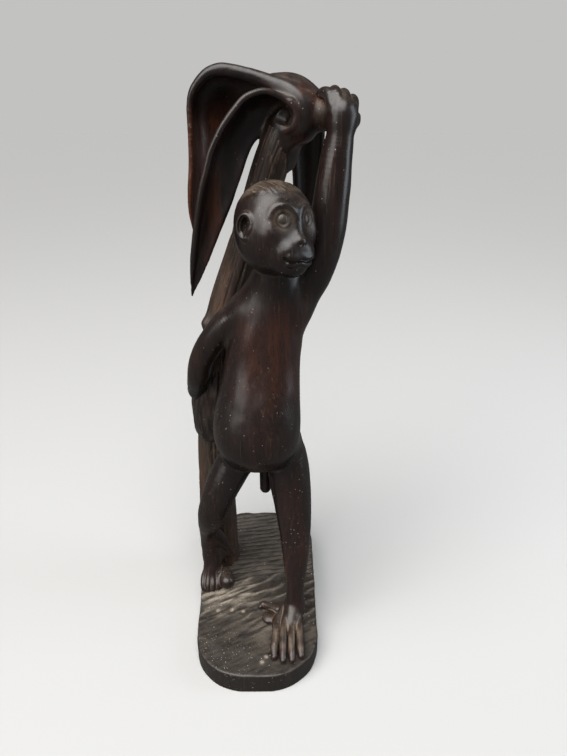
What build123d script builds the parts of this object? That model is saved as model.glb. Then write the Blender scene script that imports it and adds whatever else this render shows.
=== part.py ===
from build123d import *
import math
import os

os.makedirs("parts", exist_ok=True)

# A carved hardwood monkey that strides in front of a tree and holds it with both hands.
# The figure faces -Y, +X is on its own left, +Z is up, and lengths are millimetres.
# The origin is on the base's underside, midway along it and midway across its front end.

# Base, a slab with rounded corners that widens towards the trunk
base_width = 95.0
base_rear_flare = 11.0
base_length = 188.0
base_thickness = 18.0
base_corner_radius = 40.0
base_edge_round = 2.0

# Torso, a pot belly under a narrow chest
hip_height = 147.0
hip_forward = 7.0
hip_offset = 0.8
hip_spread = 38.0
crotch_drop = 16.0
torso_height = 158.0
torso_lean = 13.0
belly_width = 63.0
belly_depth = 58.0
belly_swell = 8.0

# Head, a round skull with a short muzzle, turned to the figure's left
head_radius = 26.0
head_rise = 21.0
head_forward = 8.0
head_turn = 30.0
muzzle_radius = 14.2
muzzle_reach = 17.0
muzzle_drop = 13.0
eye_spread = 19.0
eye_rise = 9.0
eye_radius = 5.0
socket_radius = 6.6
eye_sink = 2.6
ear_width = 19.0
ear_thickness = 7.0
ear_bowl_width = 12.0
ear_spread = 50.0
ear_forward = 7.0
ear_flare = 42.0

# Arms: one raised to the branch, one bent back to the trunk
shoulder_height = 107.0
shoulder_back = 6.0
shoulder_spread = 28.0
upper_arm_radius = 12.6
raised_arm_reach = 32.0
raised_arm_height = 118.0
bent_arm_reach = 44.0
bent_arm_back = 25.0
bent_arm_drop = 76.0

# Hands
finger_radius = 3.2
finger_pitch = 5.2
finger_count = 4
palm_width = 23.0
palm_thickness = 13.0
thumb_radius = 3.4

# Legs: the left one strides forward, the right one is bent behind it
thigh_radius = 16.2
left_leg_splay = 10.0
stride = 28.0
right_leg_splay = 22.5
rear_step = 20.0

# Feet, each with four long toes and a big toe at the side
left_foot_width = 27.0
right_foot_width = 23.0
instep_height = 19.0
left_foot_length = 58.0
left_foot_turn = -9.0
right_foot_length = 34.0
right_foot_turn = 4.0
toe_radius = 3.3
big_toe_radius = 5.2
big_toe_length = 15.0

# Tail
tail_radius = 5.0
tail_length = 52.0
tail_offset = 4.0
tail_back = 30.0

# Tree: trunk, crown and the branch that the raised hand grips
trunk_offset = 38.4
trunk_back = 32.0
trunk_radius = 17.0
knot_radius = 7.0
sheath_thickness = 2.6
sheath_length = 28.0
crown_radius = 16.5
crown_reach = 27.0
crown_back = 3.0
crown_drop = 3.0
branch_radius = 9.0
branch_overhang = 3.0
branch_end_round = 2.5
grip_rise = 2.0
branch_grip_sink = 1.8
trunk_grip_sink = 2.0

# Leaves: thickness, and how far each one spreads, goes forward or back and hangs from the crown
leaf_thickness = 3.8
leaf_tip_thickness = 2.0
front_leaf_reach = 71.0
front_leaf_forward = 21.0
front_leaf_drop = 109.0
rear_leaf_reach = 71.0
rear_leaf_back = 27.0
rear_leaf_drop = 78.0
back_leaf_width = 35.0
back_leaf_back = 50.0
back_leaf_drop = 97.0

UP = Vector(0, 0, 1)
BACK = Vector(0, 1, 0)

base_top = base_thickness
floor_of_feet = Plane((0, 0, base_top))
hip = Vector(hip_offset, -hip_forward, base_top + hip_height)

# Shares of torso_height, torso_lean, belly_swell, belly_width and belly_depth, from crotch to neck
torso_shares = (
    (0.000, 0.00, 0.30, 0.36, 0.36),
    (0.038, 0.00, 0.55, 0.70, 0.66),
    (0.114, 0.00, 0.85, 0.93, 0.89),
    (0.208, 0.00, 1.00, 1.00, 1.00),
    (0.302, 0.10, 0.85, 0.97, 0.95),
    (0.416, 0.28, 0.50, 0.87, 0.82),
    (0.567, 0.45, 0.10, 0.81, 0.73),
    (0.700, 0.65, 0.00, 0.80, 0.69),
    (0.794, 0.82, 0.00, 0.77, 0.65),
    (0.870, 0.93, 0.10, 0.65, 0.58),
    (0.945, 1.00, 0.20, 0.51, 0.50),
    (1.000, 1.05, 0.30, 0.42, 0.43),
)

# Shares of a limb's sideways reach, its reach back, its height and its thickest radius
left_leg_shares = (
    (-0.30, -0.05, 1.00, 0.86),
    (0.00, 0.03, 0.87, 1.00),
    (0.30, 0.20, 0.73, 0.98),
    (0.60, 0.45, 0.58, 0.84),
    (0.80, 0.65, 0.44, 0.71),
    (0.92, 0.82, 0.31, 0.59),
    (1.00, 0.98, 0.18, 0.46),
    (1.00, 1.02, 0.09, 0.46),
)
right_leg_shares = (
    (0.00, 0.05, 0.97, 0.76),
    (0.18, -0.10, 0.88, 0.86),
    (0.55, -0.36, 0.75, 0.84),
    (0.88, -0.50, 0.61, 0.74),
    (0.99, -0.25, 0.47, 0.63),
    (1.00, 0.30, 0.33, 0.56),
    (1.00, 0.85, 0.20, 0.49),
    (1.00, 1.05, 0.11, 0.47),
)
raised_arm_shares = (
    (-0.10, 0.0, 0.00, 1.00),
    (0.25, 0.0, 0.12, 1.02),
    (0.58, 0.0, 0.26, 0.99),
    (0.77, 0.0, 0.43, 0.97),
    (0.86, 0.0, 0.62, 0.90),
    (0.92, 0.0, 0.80, 0.81),
    (0.98, 0.0, 0.93, 0.66),
    (1.00, 0.0, 1.00, 0.61),
)
bent_arm_shares = (
    (-0.12, 0.00, 0.02, 1.00),
    (0.14, 0.00, 0.10, 1.00),
    (0.38, 0.05, 0.22, 0.97),
    (0.62, 0.13, 0.40, 0.92),
    (0.79, 0.26, 0.58, 0.86),
    (0.89, 0.46, 0.75, 0.78),
    (0.97, 0.75, 0.90, 0.66),
    (1.00, 1.00, 1.00, 0.58),
)
tail_shares = (
    (0.0, 0.12, 0.00, 1.10),
    (0.0, 0.38, 0.10, 1.08),
    (0.0, 0.52, 0.27, 1.03),
    (0.0, 0.52, 0.48, 0.98),
    (0.0, 0.42, 0.74, 0.92),
    (0.0, 0.28, 1.00, 0.86),
)
# Shares of the way from the trunk's foot to the crown across, back and up, and of trunk_radius
trunk_shares = (
    (0.000, 0.00, -0.020, 1.00),
    (0.005, 0.04, 0.110, 0.96),
    (0.015, 0.09, 0.245, 0.92),
    (0.045, 0.16, 0.365, 0.90),
    (0.115, 0.24, 0.500, 0.89),
    (0.260, 0.30, 0.635, 0.86),
    (0.480, 0.38, 0.770, 0.80),
    (0.700, 0.55, 0.895, 0.71),
    (0.840, 0.78, 0.970, 0.68),
    (0.930, 0.95, 1.000, 0.66),
)
# Near and far edge of each leaf, from its root to its tip: shares of its spread, its way forward or
# back and its drop
front_leaf_shares = (
    ((0.06, 0.56, 0.07), (0.12, -0.18, -0.03)),
    ((0.28, 0.75, 0.14), (0.25, -0.16, -0.05)),
    ((0.46, 0.94, 0.10), (0.34, -0.06, -0.09)),
    ((0.63, 1.13, -0.03), (0.44, 0.06, -0.16)),
    ((0.75, 1.20, -0.17), (0.52, 0.22, -0.29)),
    ((0.83, 1.22, -0.35), (0.62, 0.37, -0.44)),
    ((0.88, 1.20, -0.50), (0.69, 0.49, -0.55)),
    ((0.92, 1.18, -0.61), (0.75, 0.58, -0.64)),
    ((0.96, 1.10, -0.76), (0.85, 0.73, -0.78)),
    ((0.99, 1.03, -0.89), (0.93, 0.87, -0.91)),
    ((1.00, 1.01, -0.99), (0.98, 0.96, -1.00)),
)
rear_leaf_shares = (
    ((0.01, -0.10, 0.16), (0.09, 0.57, 0.00)),
    ((0.22, -0.03, 0.27), (0.22, 0.75, 0.02)),
    ((0.44, 0.03, 0.34), (0.36, 0.88, 0.02)),
    ((0.67, 0.07, 0.38), (0.49, 0.95, -0.04)),
    ((0.84, 0.09, 0.30), (0.58, 0.99, -0.14)),
    ((0.93, 0.09, 0.15), (0.64, 1.01, -0.24)),
    ((0.94, 0.12, -0.03), (0.70, 1.00, -0.35)),
    ((0.95, 0.16, -0.16), (0.73, 0.97, -0.42)),
    ((0.96, 0.20, -0.36), (0.79, 0.94, -0.54)),
    ((0.99, 0.23, -0.59), (0.85, 0.86, -0.67)),
    ((1.01, 0.27, -0.74), (0.92, 0.74, -0.79)),
    ((1.01, 0.34, -0.88), (0.97, 0.58, -0.91)),
    ((1.00, 0.42, -0.99), (0.98, 0.49, -1.00)),
)
back_leaf_shares = (
    ((-0.36, 0.13, 0.21), (0.33, 0.05, 0.07)),
    ((-0.52, 0.25, 0.23), (0.37, 0.23, 0.13)),
    ((-0.45, 0.37, 0.23), (0.41, 0.36, 0.13)),
    ((-0.33, 0.51, 0.19), (0.45, 0.49, 0.08)),
    ((-0.22, 0.63, 0.09), (0.47, 0.61, -0.01)),
    ((-0.13, 0.71, -0.04), (0.49, 0.70, -0.12)),
    ((-0.05, 0.77, -0.19), (0.48, 0.77, -0.26)),
    ((-0.01, 0.83, -0.38), (0.45, 0.84, -0.44)),
    ((0.02, 0.89, -0.59), (0.38, 0.90, -0.63)),
    ((0.05, 0.95, -0.79), (0.26, 0.96, -0.84)),
    ((0.08, 0.99, -0.99), (0.13, 0.99, -1.00)),
)
# How deep each leaf is cupped, as a share of its width
front_leaf_cup_share = 0.22
rear_leaf_cup_share = 0.17
back_leaf_cup_share = 0.17
# Shares of a foot's length and of half its width and instep height, from heel to toe roots
foot_shares = (
    (-0.22, 0.34, 0.40),
    (-0.10, 0.52, 0.74),
    (0.06, 0.62, 1.00),
    (0.24, 0.78, 0.82),
    (0.42, 0.98, 0.58),
    (0.56, 0.94, 0.44),
)
toe_across_shares = (-0.76, -0.27, 0.24, 0.72)
toe_tip_shares = (0.73, 0.78, 0.77, 0.72)
toe_root_share = 0.46
# Round tips of tail, thumb and toes, as a share of the radius they end
tip_swell_share = 1.06
# Places on the torso and on the trunk, as shares of their heights
tail_root_share = 0.13
knot_share = 0.625
# Where the fingers of each hand begin and how far they wrap, in degrees
branch_grip_start_angle = 205.0
branch_grip_turn_angle = -215.0
trunk_grip_start_angle = 215.0
trunk_grip_turn_angle = -125.0


def square_planes(points, level=BACK):
    """A plane square to a path at each of its points, with its X axis square to level."""
    planes = []
    for index, point in enumerate(points):
        before = points[max(index - 1, 0)]
        after = points[min(index + 1, len(points) - 1)]
        along = (after - before).normalized()
        planes.append(Plane(origin=point, x_dir=level.cross(along), z_dir=along))
    return planes


def limb_points(start, reach, shares):
    """A limb's centreline from shares of its reach along X, Y and Z."""
    return [
        start + Vector(reach.X * across, reach.Y * back, reach.Z * up)
        for across, back, up, _ in shares
    ]


def lofted_limb(points, radii, level=BACK):
    """A round limb that swells and tapers along its centreline."""
    with BuildPart() as limb:
        for plane, radius in zip(square_planes(points, level), radii):
            with BuildSketch(plane):
                Circle(radius)
        loft()
    return limb.part


def rounded_limb(points, radii, level=BACK):
    """A limb with a round, slightly swollen tip at its far end."""
    with BuildPart() as limb:
        add(lofted_limb(points, radii, level))
        with Locations(points[-1]):
            Sphere(radii[-1] * tip_swell_share)
    return limb.part


def spheroid(plane, width, height):
    """A round solid of the given width, stretched or flattened to a height along the plane's Z."""
    half = height / 2
    profile = Plane(plane.origin, x_dir=plane.x_dir, z_dir=plane.y_dir * -1)
    with BuildPart() as solid:
        with BuildSketch(profile):
            with BuildLine():
                EllipticalCenterArc((0, 0), width / 2, half, -90, arc_size=180)
                Line((0, half), (0, -half))
            make_face()
        revolve(axis=Axis(plane.origin, plane.z_dir))
    return solid.part


def ring_finger(plane, ring_radius, start, turn, radius):
    """One finger bent round a bar on the plane's axis, with round ends."""
    with BuildPart() as finger:
        with BuildLine(plane) as bend:
            CenterArc((0, 0), ring_radius, start, turn)
        with BuildSketch(Plane(bend.line @ 0, z_dir=bend.line % 0)):
            Circle(radius)
        sweep()
        with Locations(bend.line @ 0, bend.line @ 1):
            Sphere(radius)
    return finger.part


def radii_of(shares, radius):
    """The radii of a limb's stations, from the last share in each row."""
    return [row[-1] * radius for row in shares]


def between(rows, share):
    """A point and radius part of the way up a limb, read from its stations by height."""
    lower, upper = next(
        (low, high)
        for low, high in zip(rows, rows[1:])
        if low[2] <= share <= high[2]
    )
    part = (share - lower[2]) / (upper[2] - lower[2])
    return [a + (b - a) * part for a, b in zip(lower, upper)]


# Base: rounded slab, its upper edge eased
base_corners = (
    (-base_width / 2, -base_length / 2),
    (base_width / 2, -base_length / 2),
    (base_width / 2, base_length / 2),
    (-base_width / 2 - base_rear_flare, base_length / 2),
)
with BuildPart() as base:
    with BuildSketch() as base_outline:
        with BuildLine():
            Polyline(*base_corners, close=True)
        make_face()
        fillet(base_outline.vertices(), base_corner_radius)
    extrude(amount=base_thickness)
    fillet(base.faces().sort_by(Axis.Z)[-1].edges(), base_edge_round)

# Torso: ellipses stacked from the crotch to the neck
crotch = hip - UP * crotch_drop
with BuildPart() as torso:
    for height, lean, swell, width, depth in torso_shares:
        middle = crotch + Vector(torso_lean * lean, -belly_swell * swell, torso_height * height)
        with BuildSketch(Plane(middle)):
            Ellipse(belly_width / 2 * width, belly_depth / 2 * depth)
    loft()
neck = crotch + Vector(torso_lean, 0, torso_height)

# Head: skull and muzzle in a frame that faces along the plane's -Y, with sockets for the eyes
face = Plane(neck + Vector(0, -head_forward, head_rise)).rotated((0, 0, head_turn))
muzzle_middle = face.from_local_coords((0, -muzzle_reach, -muzzle_drop))
eye_out = math.sqrt(head_radius**2 - (eye_spread / 2) ** 2 - eye_rise**2)
eye_places = {
    "right_eye": face.from_local_coords((-eye_spread / 2, -eye_out, eye_rise)),
    "left_eye": face.from_local_coords((eye_spread / 2, -eye_out, eye_rise)),
}
with BuildPart() as head:
    with Locations(face.origin):
        Sphere(head_radius)
    with Locations(muzzle_middle):
        Sphere(muzzle_radius)
    add(torso.part, mode=Mode.SUBTRACT)
    for place in eye_places.values():
        with Locations(place):
            Sphere(socket_radius, mode=Mode.SUBTRACT)

# Eyes: domes that fill the back of each socket
eyes = {}
for eye_name, place in eye_places.items():
    inward = (face.origin - place).normalized()
    with BuildPart() as eye:
        with Locations(place + inward * eye_sink):
            Sphere(eye_radius)
        add(head.part, mode=Mode.SUBTRACT)
    eyes[eye_name] = eye

# Raised arm: from the left shoulder up to the wrist under the branch
shoulder = hip + Vector(torso_lean * (shoulder_height / torso_height), shoulder_back, shoulder_height)
left_shoulder = shoulder + Vector(shoulder_spread / 2, 0, 0)
raised_points = limb_points(
    left_shoulder, Vector(raised_arm_reach, 0, raised_arm_height), raised_arm_shares
)
with BuildPart() as left_arm:
    add(lofted_limb(raised_points, radii_of(raised_arm_shares, upper_arm_radius)))
    add(torso.part, mode=Mode.SUBTRACT)
    add(head.part, mode=Mode.SUBTRACT)

# Ears: thick discs at the sides of the head, turned outwards and hollowed to a bowl
ears = {}
for ear_name, side in (("right_ear", -1), ("left_ear", 1)):
    outward = (face.y_dir * -1).rotate(Axis.Z, side * ear_flare)
    ear_middle = face.from_local_coords((side * ear_spread / 2, -ear_forward, 0))
    with BuildPart() as ear:
        add(spheroid(Plane(ear_middle, z_dir=outward), ear_width, ear_thickness))
        with Locations(ear_middle + outward * ear_thickness):
            Sphere(ear_bowl_width / 2, mode=Mode.SUBTRACT)
        add(head.part, mode=Mode.SUBTRACT)
        add(left_arm.part, mode=Mode.SUBTRACT)
    ears[ear_name] = ear

# Crown: the knuckle of wood that the leaves and the gripped branch grow from
wrist = raised_points[-1]
grip = wrist + Vector(0, branch_radius + palm_thickness / 2 - branch_grip_sink, grip_rise)
crown_middle = grip + Vector(-crown_reach, crown_back, -crown_drop)

# Trunk: from the base to the crown, with a knot on its outer side
trunk_foot = Vector(-trunk_offset, trunk_back, base_top)
trunk_reach = crown_middle - trunk_foot
trunk_points = limb_points(trunk_foot, trunk_reach, trunk_shares)


def trunk_at(share):
    """The trunk's middle and radius part of the way up."""
    across, back, up, radius = between(trunk_shares, share)
    middle = limb_points(trunk_foot, trunk_reach, ((across, back, up, radius),))[0]
    return middle, radius * trunk_radius


def trunk_share(height):
    """How far up the trunk a height is."""
    return (height - trunk_foot.Z) / trunk_reach.Z


knot_middle, knot_level_radius = trunk_at(knot_share)
with BuildPart() as trunk:
    add(lofted_limb(trunk_points, radii_of(trunk_shares, trunk_radius)))
    with Locations(knot_middle - Vector(knot_level_radius, 0, 0)):
        Sphere(knot_radius)
    split(bisect_by=floor_of_feet, keep=Keep.TOP)
    add(torso.part, mode=Mode.SUBTRACT)

with BuildPart() as whole_crown:
    with Locations(crown_middle):
        Sphere(crown_radius)
with BuildPart() as crown:
    add(whole_crown.part)
    add(trunk.part, mode=Mode.SUBTRACT)

# Branch: the stub between the crown and the raised hand
branch_axis = (grip - crown_middle).normalized()
branch_end = grip + branch_axis * (palm_width / 2 - branch_overhang)
with BuildPart() as branch_stub:
    add(lofted_limb([crown_middle, grip, branch_end], [branch_radius] * 3))
    fillet(branch_stub.faces().sort_by(Axis.X)[-1].edges(), branch_end_round)
    for other in (whole_crown, trunk, left_arm):
        add(other.part, mode=Mode.SUBTRACT)

# Left hand: palm in front of the branch, fingers bent over it, thumb round its end
palm_frame = Plane(wrist + UP * grip_rise, z_dir=BACK)
with BuildPart() as left_hand:
    add(spheroid(palm_frame, palm_width, palm_thickness))
    for index in range(finger_count):
        step = (index - (finger_count - 1) / 2) * finger_pitch
        finger_plane = Plane(grip + branch_axis * step, x_dir=BACK, z_dir=branch_axis)
        add(
            ring_finger(
                finger_plane,
                branch_radius + finger_radius - branch_grip_sink,
                branch_grip_start_angle,
                branch_grip_turn_angle,
                finger_radius,
            )
        )
    thumb_root = wrist + Vector(palm_width / 2 - 2 * thumb_radius, 0, 0)
    thumb_tip = grip + branch_axis * (palm_width / 2 - thumb_radius) - UP * (branch_radius / 2)
    add(rounded_limb([thumb_root, thumb_tip], [thumb_radius] * 2, UP))
    for other in (left_arm, branch_stub, whole_crown):
        add(other.part, mode=Mode.SUBTRACT)

# Bent arm: from the right shoulder down and back to the trunk
right_shoulder = shoulder - Vector(shoulder_spread / 2, 0, 0)
bent_points = limb_points(
    right_shoulder, Vector(-bent_arm_reach, bent_arm_back, -bent_arm_drop), bent_arm_shares
)
with BuildPart() as right_arm:
    add(lofted_limb(bent_points, radii_of(bent_arm_shares, upper_arm_radius)))
    add(torso.part, mode=Mode.SUBTRACT)
    add(trunk.part, mode=Mode.SUBTRACT)

# Right hand: palm at the wrist, fingers bent round the outer side of the trunk
held_middle, held_radius = trunk_at(trunk_share(bent_points[-1].Z))
with BuildPart() as right_hand:
    add(spheroid(Plane(bent_points[-1], z_dir=(1, 0, 0)), palm_width, palm_thickness))
    for index in range(finger_count):
        step = (index - (finger_count - 1) / 2) * finger_pitch
        add(
            ring_finger(
                Plane(Vector(held_middle.X, held_middle.Y, bent_points[-1].Z + step)),
                held_radius + finger_radius - trunk_grip_sink,
                trunk_grip_start_angle,
                trunk_grip_turn_angle,
                finger_radius,
            )
        )
    add(trunk.part, mode=Mode.SUBTRACT)
    add(right_arm.part, mode=Mode.SUBTRACT)

# Bark sheath: a raised collar of old bark on the outer side of the trunk, under the hand
sheath_top_height = bent_points[-1].Z - palm_width / 2
sheath_top, sheath_top_radius = trunk_at(trunk_share(sheath_top_height))
sheath_foot, sheath_foot_radius = trunk_at(trunk_share(sheath_top_height - sheath_length))
with BuildPart() as bark_sheath:
    add(
        lofted_limb(
            [sheath_foot, sheath_top],
            [sheath_foot_radius + sheath_thickness, sheath_top_radius + sheath_thickness],
        )
    )
    split(bisect_by=Plane(sheath_foot, z_dir=(1, 0, 0)), keep=Keep.BOTTOM)
    for other in (trunk, torso, right_arm, right_hand):
        add(other.part, mode=Mode.SUBTRACT)

# Legs, from the hips to the ankles
left_hip = hip + Vector(hip_spread / 2, 0, 0)
right_hip = hip - Vector(hip_spread / 2, 0, 0)
leg_start = Vector(0, 0, -hip_height)
left_leg_points = limb_points(
    left_hip + leg_start, Vector(left_leg_splay, -stride, hip_height), left_leg_shares
)
right_leg_points = limb_points(
    right_hip + leg_start, Vector(-right_leg_splay, rear_step, hip_height), right_leg_shares
)
with BuildPart() as left_leg:
    add(lofted_limb(left_leg_points, radii_of(left_leg_shares, thigh_radius)))
    add(torso.part, mode=Mode.SUBTRACT)
with BuildPart() as right_leg:
    add(lofted_limb(right_leg_points, radii_of(right_leg_shares, thigh_radius)))
    for other in (torso, trunk, left_leg):
        add(other.part, mode=Mode.SUBTRACT)


def foot_shape(ankle, turn, length, width, side):
    """A foot on the base: heel, instep and four toes, and a big toe on the given side."""
    ground = Plane((ankle.X, ankle.Y, base_top)).rotated((0, 0, turn))
    half_width = width / 2
    half_height = instep_height / 2

    def at(across, forward, height):
        return ground.from_local_coords((across, -forward, height))

    with BuildPart() as foot:
        for forward, breadth, height in foot_shares:
            section = Plane(
                at(0, forward * length, half_height * height),
                x_dir=ground.x_dir,
                z_dir=ground.y_dir * -1,
            )
            with BuildSketch(section):
                Ellipse(half_width * breadth, half_height * height)
        loft()
        for across, tip in zip(toe_across_shares, toe_tip_shares):
            root = at(across * half_width, toe_root_share * length, toe_radius)
            knuckle = at(across * half_width, (toe_root_share + tip) / 2 * length, 2 * toe_radius)
            end = at(across * half_width, tip * length - toe_radius, toe_radius)
            add(rounded_limb([root, knuckle, end], [toe_radius] * 3, UP))
        big_root = at(0, 0, big_toe_radius)
        big_tip = at(side * (half_width + big_toe_length / 2), big_toe_length / 2, big_toe_radius)
        add(rounded_limb([big_root, big_tip], [big_toe_radius] * 2, UP))
        split(bisect_by=floor_of_feet, keep=Keep.TOP)
    return foot.part


with BuildPart() as left_foot:
    add(foot_shape(left_leg_points[-1], left_foot_turn, left_foot_length, left_foot_width, -1))
    add(left_leg.part, mode=Mode.SUBTRACT)
with BuildPart() as right_foot:
    add(foot_shape(right_leg_points[-1], right_foot_turn, right_foot_length, right_foot_width, 1))
    for other in (right_leg, trunk):
        add(other.part, mode=Mode.SUBTRACT)

# Tail: hangs from the rump behind the legs
tail_root = crotch + Vector(tail_offset, 0, torso_height * tail_root_share)
tail_points = limb_points(tail_root, Vector(0, tail_back, -tail_length), tail_shares)
with BuildPart() as tail:
    add(rounded_limb(tail_points, radii_of(tail_shares, tail_radius)))
    for other in (torso, left_leg, right_leg, trunk):
        add(other.part, mode=Mode.SUBTRACT)


def leaf_shape(spread, back, drop, cup_share, shares):
    """A drooping leaf between two edge lines that start in the crown, cupped underneath."""
    near_edge, far_edge = (
        [crown_middle + Vector(spread * x, back * y, drop * z) for x, y, z in edge] for edge in zip(*shares)
    )
    middles = [(near + far) / 2 for near, far in zip(near_edge, far_edge)]
    widths = [(far - near).length for near, far in zip(near_edge, far_edge)]
    with BuildPart() as leaf:
        for index, width in enumerate(widths):
            across = (far_edge[index] - near_edge[index]).normalized()
            along = middles[min(index + 1, len(middles) - 1)] - middles[max(index - 1, 0)]
            upper = across.cross(along).normalized()
            half = width / 2
            crest = cup_share * width
            stoutness = width / max(widths)
            rim = leaf_tip_thickness / 2 + (leaf_thickness - leaf_tip_thickness) / 2 * stoutness
            with BuildSketch(Plane(middles[index], x_dir=across, z_dir=across.cross(upper))):
                with BuildLine():
                    ThreePointArc((-half, rim), (0, crest + rim), (half, rim))
                    Line((half, rim), (half, -rim))
                    ThreePointArc((half, -rim), (0, crest - rim), (-half, -rim))
                    Line((-half, -rim), (-half, rim))
                make_face()
        loft()
    return leaf.part


with BuildPart() as front_leaf:
    add(
        leaf_shape(
            -front_leaf_reach,
            -front_leaf_forward,
            front_leaf_drop,
            front_leaf_cup_share,
            front_leaf_shares,
        )
    )
    for other in (whole_crown, trunk, branch_stub, left_hand):
        add(other.part, mode=Mode.SUBTRACT)
with BuildPart() as rear_leaf:
    add(
        leaf_shape(
            -rear_leaf_reach,
            rear_leaf_back,
            rear_leaf_drop,
            rear_leaf_cup_share,
            rear_leaf_shares,
        )
    )
    for other in (whole_crown, trunk, branch_stub, front_leaf):
        add(other.part, mode=Mode.SUBTRACT)
with BuildPart() as back_leaf:
    add(
        leaf_shape(
            back_leaf_width,
            back_leaf_back,
            back_leaf_drop,
            back_leaf_cup_share,
            back_leaf_shares,
        )
    )
    for other in (whole_crown, trunk, branch_stub, left_hand, rear_leaf):
        add(other.part, mode=Mode.SUBTRACT)

# Every piece under the name of its node
pieces = {
    "base": base,
    "torso": torso,
    "head": head,
    **eyes,
    **ears,
    "left_arm": left_arm,
    "left_hand": left_hand,
    "right_arm": right_arm,
    "right_hand": right_hand,
    "left_leg": left_leg,
    "left_foot": left_foot,
    "right_leg": right_leg,
    "right_foot": right_foot,
    "tail": tail,
    "trunk": trunk,
    "bark_sheath": bark_sheath,
    "crown": crown,
    "branch_stub": branch_stub,
    "front_leaf": front_leaf,
    "rear_leaf": rear_leaf,
    "back_leaf": back_leaf,
}
for name, piece in pieces.items():
    piece.part.label = name
    export_step(piece.part, f"parts/{name}.step")
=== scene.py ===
"""A dark hardwood carving of a monkey beside a tree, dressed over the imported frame.

Shapes are sculpted as distance fields in millimetres, meshed, and written in metres.
"""
import math

import bpy
import numpy as np
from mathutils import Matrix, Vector


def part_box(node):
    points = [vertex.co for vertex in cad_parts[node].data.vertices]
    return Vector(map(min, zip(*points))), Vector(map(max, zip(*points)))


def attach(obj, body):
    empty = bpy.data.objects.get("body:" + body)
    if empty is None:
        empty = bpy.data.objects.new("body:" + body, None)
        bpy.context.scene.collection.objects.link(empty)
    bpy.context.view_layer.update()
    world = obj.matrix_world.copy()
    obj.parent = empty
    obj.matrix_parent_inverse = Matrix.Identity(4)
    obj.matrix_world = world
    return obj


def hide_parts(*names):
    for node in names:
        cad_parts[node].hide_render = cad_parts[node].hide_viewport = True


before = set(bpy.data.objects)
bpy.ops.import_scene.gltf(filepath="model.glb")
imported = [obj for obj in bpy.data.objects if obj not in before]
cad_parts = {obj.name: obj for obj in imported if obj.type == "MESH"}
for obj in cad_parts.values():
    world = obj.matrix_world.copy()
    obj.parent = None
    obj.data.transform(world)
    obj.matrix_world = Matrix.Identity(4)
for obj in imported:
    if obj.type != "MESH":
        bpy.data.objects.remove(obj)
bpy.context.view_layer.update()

# One carving millimetre in the frame's metres: the base is drawn this long, and the frame says how long it is
BASE_LENGTH = 188.0
base_low, base_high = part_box("base")
MM = (base_high[1] - base_low[1]) / BASE_LENGTH

UP = np.array((0.0, 0.0, 1.0))
FAR = 60.0


def node_box(node):
    """A CAD node's lowest and highest corners, in carving millimetres."""
    low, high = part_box(node)
    return np.array(low) / MM, np.array(high) / MM


BASE_LOW, BASE_HIGH = node_box("base")
BASE_TOP = BASE_HIGH[2]


# Distance fields

class Grid:
    """A block of sample points that fields are worked out on."""

    def __init__(self, low, high, step):
        self.step = step
        self.low = np.asarray(low, float) - 2 * step
        count = np.ceil((np.asarray(high, float) + 2 * step - self.low) / step).astype(int) + 1
        self.axes = [self.low[k] + step * np.arange(count[k]) for k in range(3)]
        self.shape = tuple(count)

    def xyz(self, part=None):
        """Broadcastable coordinates of the whole block or of a part of it."""
        a, b, c = self.axes
        if part is not None:
            a, b, c = a[part[0]], b[part[1]], c[part[2]]
        return (
            a[:, None, None].astype(np.float32),
            b[None, :, None].astype(np.float32),
            c[None, None, :].astype(np.float32),
        )

    def part_near(self, low, high):
        """Slices of the samples inside a box, or None if there are none."""
        slices = []
        for k in range(3):
            start = int(np.searchsorted(self.axes[k], low[k]))
            stop = int(np.searchsorted(self.axes[k], high[k]))
            if stop <= start:
                return None
            slices.append(slice(start, stop))
        return tuple(slices)

    def empty(self):
        return np.full(self.shape, FAR, np.float32)


def soft_min(a, b, blend):
    """Union of two fields with a fillet of about the blend's size."""
    if blend <= 0:
        return np.minimum(a, b)
    mix = np.clip(0.5 + 0.5 * (b - a) / blend, 0, 1)
    return b + (a - b) * mix - blend * mix * (1 - mix)


def soft_cut(a, b, blend):
    """Field a with field b cut away and the edge eased."""
    return -soft_min(-a, b, blend)


def cone_field(x, y, z, a, b, ra, rb):
    """Distance to a round cone from a to b."""
    ba = np.asarray(b, float) - np.asarray(a, float)
    length = float(np.linalg.norm(ba)) + 1e-9
    dx, dy, dz = x - a[0], y - a[1], z - a[2]
    along = (dx * ba[0] + dy * ba[1] + dz * ba[2]) / length**2
    along = np.clip(along, 0, 1)
    dx = dx - ba[0] * along
    dy = dy - ba[1] * along
    dz = dz - ba[2] * along
    return np.sqrt(dx * dx + dy * dy + dz * dz) - (ra + (rb - ra) * along)


def limb_field(grid, part, line, margin):
    """Distance to the round cones along a line, each one worked out only near itself."""
    near = np.full([piece.stop - piece.start for piece in part], FAR, np.float32)
    for a, b in zip(line, line[1:]):
        reach = max(a[3], b[3]) + margin
        inner = grid.part_near(np.minimum(a, b)[:3] - reach, np.maximum(a, b)[:3] + reach)
        if inner is None:
            continue
        starts = [max(i.start, p.start) for i, p in zip(inner, part)]
        stops = [min(i.stop, p.stop) for i, p in zip(inner, part)]
        if any(stop <= start for start, stop in zip(starts, stops)):
            continue
        x, y, z = grid.xyz([slice(start, stop) for start, stop in zip(starts, stops)])
        own = tuple(slice(start - p.start, stop - p.start) for start, stop, p in zip(starts, stops, part))
        near[own] = np.minimum(near[own], cone_field(x, y, z, a[:3], b[:3], a[3], b[3]))
    return near


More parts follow.
